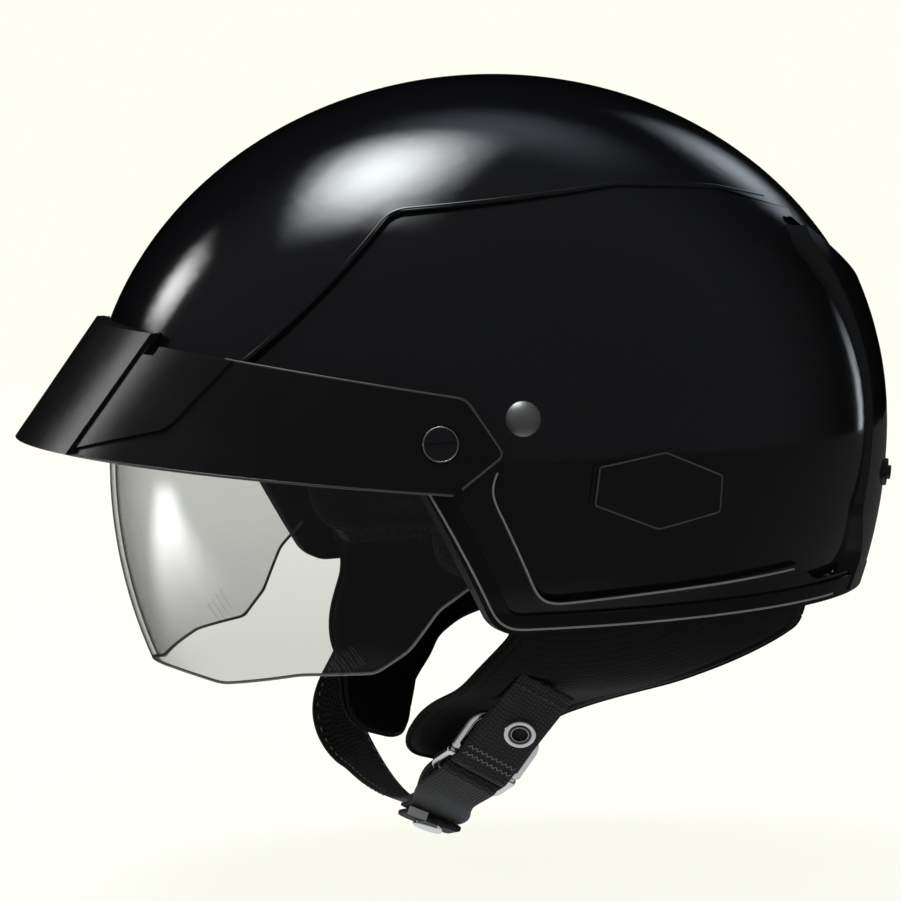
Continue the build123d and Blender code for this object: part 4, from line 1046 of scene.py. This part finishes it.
rows = [zigzag(upward, reach=0.0098, height=0.0014, pitch=0.0010) for upward in (0.0040, 0.0072)]
middles, ways = (np.concatenate(part) for part in zip(*rows))
stitches("fold_zigzag", middles, ways, np.broadcast_to(out, ways.shape), 0.0018, 0.00042, "pale_thread")
seam_spots = on_buckle(np.full(9, strap_length - 0.003), 0.0001)
seam_spots = seam_spots + np.linspace(-0.0095, 0.0095, 9)[:, None] * buckle_across
stitches("flap_strap_seam", seam_spots, np.broadcast_to(buckle_across, seam_spots.shape),
         np.broadcast_to(out, seam_spots.shape), 0.0018, 0.0006, "dark_thread")
print("zigzag of", len(middles), "stitches, and", len(seam_spots), "at the flap")

# %% [markdown]
# ## Rounded edges that catch the light
#
# On the black helmet an edge is seen only as a thin line of light. The moulded and painted edges
# of the real one have a radius of about a millimetre, which the solids' sharp steps lack. A
# slim roll is laid into each step: along the crease and the lower band of the shell, along both
# edges of the peak, along the rim of the trim, round the badge, on the lower edge of the sun shield,
# round the snap socket and round each peak screw. The right side is the left's mirror.
# The rolls of the crease and the lower band are the shell's own lacquer. The thin rolls on the band,
# the peak, the trim, the badge and the screws are much lighter than their black parts, so they are
# painted highlights. The black roll in the snap socket is painted shade in its recess, and the grey
# roll on the shield is painted shade, the dark line of its clear edge.


# %% Edge rolls
def ellipsoid_x(y, z, half, middle_y=0.0, middle_z=0.0):
    """x of an ellipsoid's left face: h0 * sqrt(1 - ((y - my) / h1)^2 - ((z - mz) / h2)^2)."""
    square = 1 - ((y - middle_y) / half[1]) ** 2 - ((z - middle_z) / half[2]) ** 2
    return half[0] * np.sqrt(np.clip(square, 0, None))


def even_line(places, count, rounding):
    """Even points along an open line of places, smoothed within the rounding, with its ends kept."""
    places = np.asarray(places, float)
    lengths = lengths_along(places)
    points = rows_at(places, lengths, np.linspace(0, lengths[-1], count))
    reach = max(1, int(round(rounding / (lengths[-1] / count))))
    padded = np.concatenate([np.repeat(points[:1], reach, 0), points, np.repeat(points[-1:], reach, 0)])
    return np.mean([padded[shift:shift + count] for shift in range(2 * reach + 1)], axis=0)


def edge_roll(name, path, radius, finish, body="helmet"):
    """A slim roll along a path, which rides with a body."""
    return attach(tube(name, path, radius, finish, around=10), body)


def edge_pair(name, path, radius, finish):
    """A roll on the left side and its mirror on the right."""
    for hand, side in hands:
        edge_roll(f"{name}_{hand}", path * (side, 1, 1), radius, finish)


print("a line of two places, in five:", even_line([(0, 0), (0, 1)], 5, 0.1)[:, 1].round(2))

# %% Crease of the shell, and the painted highlight round the badge
crease = even_line(np.array([(-0.9, 0.202), (-0.797, 0.25), (-0.426, 0.672), (0.135, 0.734), (0.405, 0.711),
                             (0.58, 0.664)]) * dome_half[1:], 260, 0.006)
crease_x = ellipsoid_x(crease[:, 0], crease[:, 1], dome_half - 0.00095)
crease_line = with_x(crease_x, crease)[crease_x > 0.02]
badge = np.array([(-0.03, -0.008), (0.153, 0.026), (0.321, -0.055), (0.318, -0.164), (0.14, -0.203),
                  (-0.041, -0.121)]) * dome_half[1:]
badge_middle = badge.mean(axis=0)
badge_top = badge_middle + (badge - badge_middle) * 0.93
badge_line = even_line(np.concatenate([badge_top, badge_top[:1]]), 180, 0.0006)
badge_x = ellipsoid_x(badge_line[:, 0], badge_line[:, 1], dome_half + 0.00022, 0.0022)
badge_edge = with_x(badge_x, badge_line)
# painted highlights: both greys are far lighter than the black shell, peak and trim that their thin rolls lie
# on, so the rolls paint lines of light
painted_highlight_grey = satin_plastic("painted_highlight_grey", (0.045, 0.045, 0.047, 1), 0.28)
painted_highlight_pale = satin_plastic("painted_highlight_pale", (0.17, 0.172, 0.18, 1), 0.24)
edge_pair("crease_roll", crease_line, 0.0011, hard_finishes["shell_gloss"])
# painted highlight: a thin grey roll round the top edge of the black badge
edge_pair("badge_painted_highlight", badge_edge, 0.00032, painted_highlight_grey)
print("crease of", len(crease_line), "points, badge rim of", len(badge_edge))

# %% Painted highlights along the edges of the peak
peak_top, peak_bottom = 0.050, -0.014


def peak_x(y, z, inside):
    """x of the peak's cone at y and z: a * sqrt(1 - (y / b)^2), where a and b are straight in z."""
    share = (peak_top - z) / (peak_top - peak_bottom)
    half_x = 0.1142 + 0.0119 * share - inside
    half_y = 0.1362 + 0.0476 * share - inside
    return half_x * np.sqrt(np.clip(1 - (y / half_y) ** 2, 0, None)), half_y


low_y = np.linspace(-0.0565, -0.1795, 1400)
low_z = -0.0093 + (low_y + 0.0565) / -0.1833 * 0.0143
low_x, low_reach = peak_x(low_y, low_z, 0.0005)
held = -low_y < low_reach
half_line = np.stack([low_x, low_y, low_z], -1)[held]
whole = np.concatenate([half_line, half_line[::-1][1:] * (-1, 1, 1)])
# painted highlight: a thin grey roll along the lower edge of the black peak
edge_roll("peak_low_highlight", even_line(whole, 400, 0.0008), 0.00055, painted_highlight_grey)

tip = even_line([(-0.0545, -0.0078), (-0.0385, 0.004), (-0.0502, 0.0233), (-0.123, 0.0352)], 260, 0.0025)
tip_x, _ = peak_x(tip[:, 0], tip[:, 1], 0.0004)
# painted highlight: thin grey rolls along the side edges of the black peak
edge_pair("peak_side_highlight", with_x(tip_x, tip), 0.0005, painted_highlight_grey)
print("peak edge reaches y", whole[:, 1].min().round(4))

# %% [markdown]
# ## Lower band and rim of the trim
#
# The step of the lower band runs over a flared wall that has no short formula. A ray from the side
# finds the wall at each place of the line, and the roll is laid where it lands. A ray can fall
# beside a sharp step, so four rays side by side look for the band, and the outermost counts.


# %% Step of the lower band
def wall_x(places, node):
    """x of a solid's left wall at each (y, z), where a ray from far on the left lands."""
    solid = frame["nodes"][node]
    return np.array([solid.ray_cast((0.3, y, z), (-1, 0, 0))[1].x for y, z in places])


band_edge = even_line(np.array([(0.575, -0.352), (0.12, -0.378), (-0.142, -0.398), (-0.291, -0.063),
                                (-0.26, 0.0)]) * dome_half[1:], 150, 0.005)
beside = unit(np.stack([np.gradient(band_edge[:, 1]), -np.gradient(band_edge[:, 0])], -1))
looks = [wall_x(band_edge + beside * step, "outer_shell") for step in (-0.0012, -0.0006, 0, 0.0006)]
band_x = np.max(looks, axis=0)
print("band stands at x", band_x.min().round(4), "to", band_x.max().round(4))
band_line = even_line(with_x(band_x - 0.0005, band_edge), 150, 0.004)
edge_pair("band_roll", band_line, 0.00085, hard_finishes["shell_gloss"])
# painted highlight: a thin pale roll along the outside of the band's black roll
edge_pair("band_edge", band_line + (0.0007, 0, 0), 0.0004, painted_highlight_pale)

rim_edge = even_line([(-0.0640, -0.0075), (-0.0343, -0.0596), (0.108, -0.0578)], 260, 0.007)
rim_x = wall_x(rim_edge, "edge_trim")
landed = rim_x > 0.03
print("rim stands at x", rim_x.min().round(4), "to", rim_x.max().round(4), "misses", int((~landed).sum()))
rim_edge, rim_x = rim_edge[landed], rim_x[landed]
rim_line = even_line(with_x(rim_x - 0.0001, rim_edge), 260, 0.002)
# painted highlight: a thin pale roll along the lower rim of the black trim
edge_pair("trim_low_highlight", rim_line, 0.00045, painted_highlight_pale)

# %% Painted shade on the sun shield's lower edge and in the snap socket, and painted highlights round the peak's screws
shield_half = np.array([0.1045, 0.1745, 0.1745])
shield_low = np.array([(-0.27, -0.352), (-0.345, -0.422), (-0.405, -0.539), (-0.473, -0.605), (-0.628, -0.617),
                       (-0.77, -0.66), (-0.851, -0.633), (-0.9, -0.6315)]) * dome_half[1:]
low_line = even_line(shield_low, 500, 0.002)
shield_x = ellipsoid_x(low_line[:, 0], low_line[:, 1], shield_half, 0.033, -0.010)
half_line = with_x(shield_x, low_line)[shield_x > 0.0005]
whole = np.concatenate([half_line, half_line[::-1] * (-1, 1, 1)])
# painted shade: an opaque grey roll gives the clear shield's lower edge its dark line
shield_edge_shade = satin_plastic("shield_edge_shade", (0.16, 0.165, 0.17, 1), 0.2, 0.000005)
edge_roll("shield_low_shade_line", even_line(whole, 500, 0.001), 0.00055, shield_edge_shade, "shield")

# painted shade: a black steel roll covers the inner half of the socket's flat ring, as the shade of its recess
well_middle = fold + buckle_across * 0.0025 + up * 0.022 + out * 0.00112
well = arc(well_middle, buckle_across, up, radius=0.0037, count=97, turn=2 * np.pi)
edge_roll("socket_painted_shade_ring", well, 0.0007, hard_finishes["screw_black"])
# painted highlight: a grey metal ring round the edge of each black screw head
screw_out, screw_head = unit((0.9367, -0.262, 0.2324)), np.array((0.1133, -0.05983, 0.00785))
first = unit(np.cross(screw_out, (0, 0, 1)))
second = np.cross(screw_out, first)
screw_ring = arc(screw_head + screw_out * 0.0011, first, second, radius=0.0061, count=97, turn=2 * np.pi)
edge_pair("screw_painted_highlight", screw_ring, 0.0003, hard_finishes["rivet_grey"])

# %% [markdown]
# ## Close
#
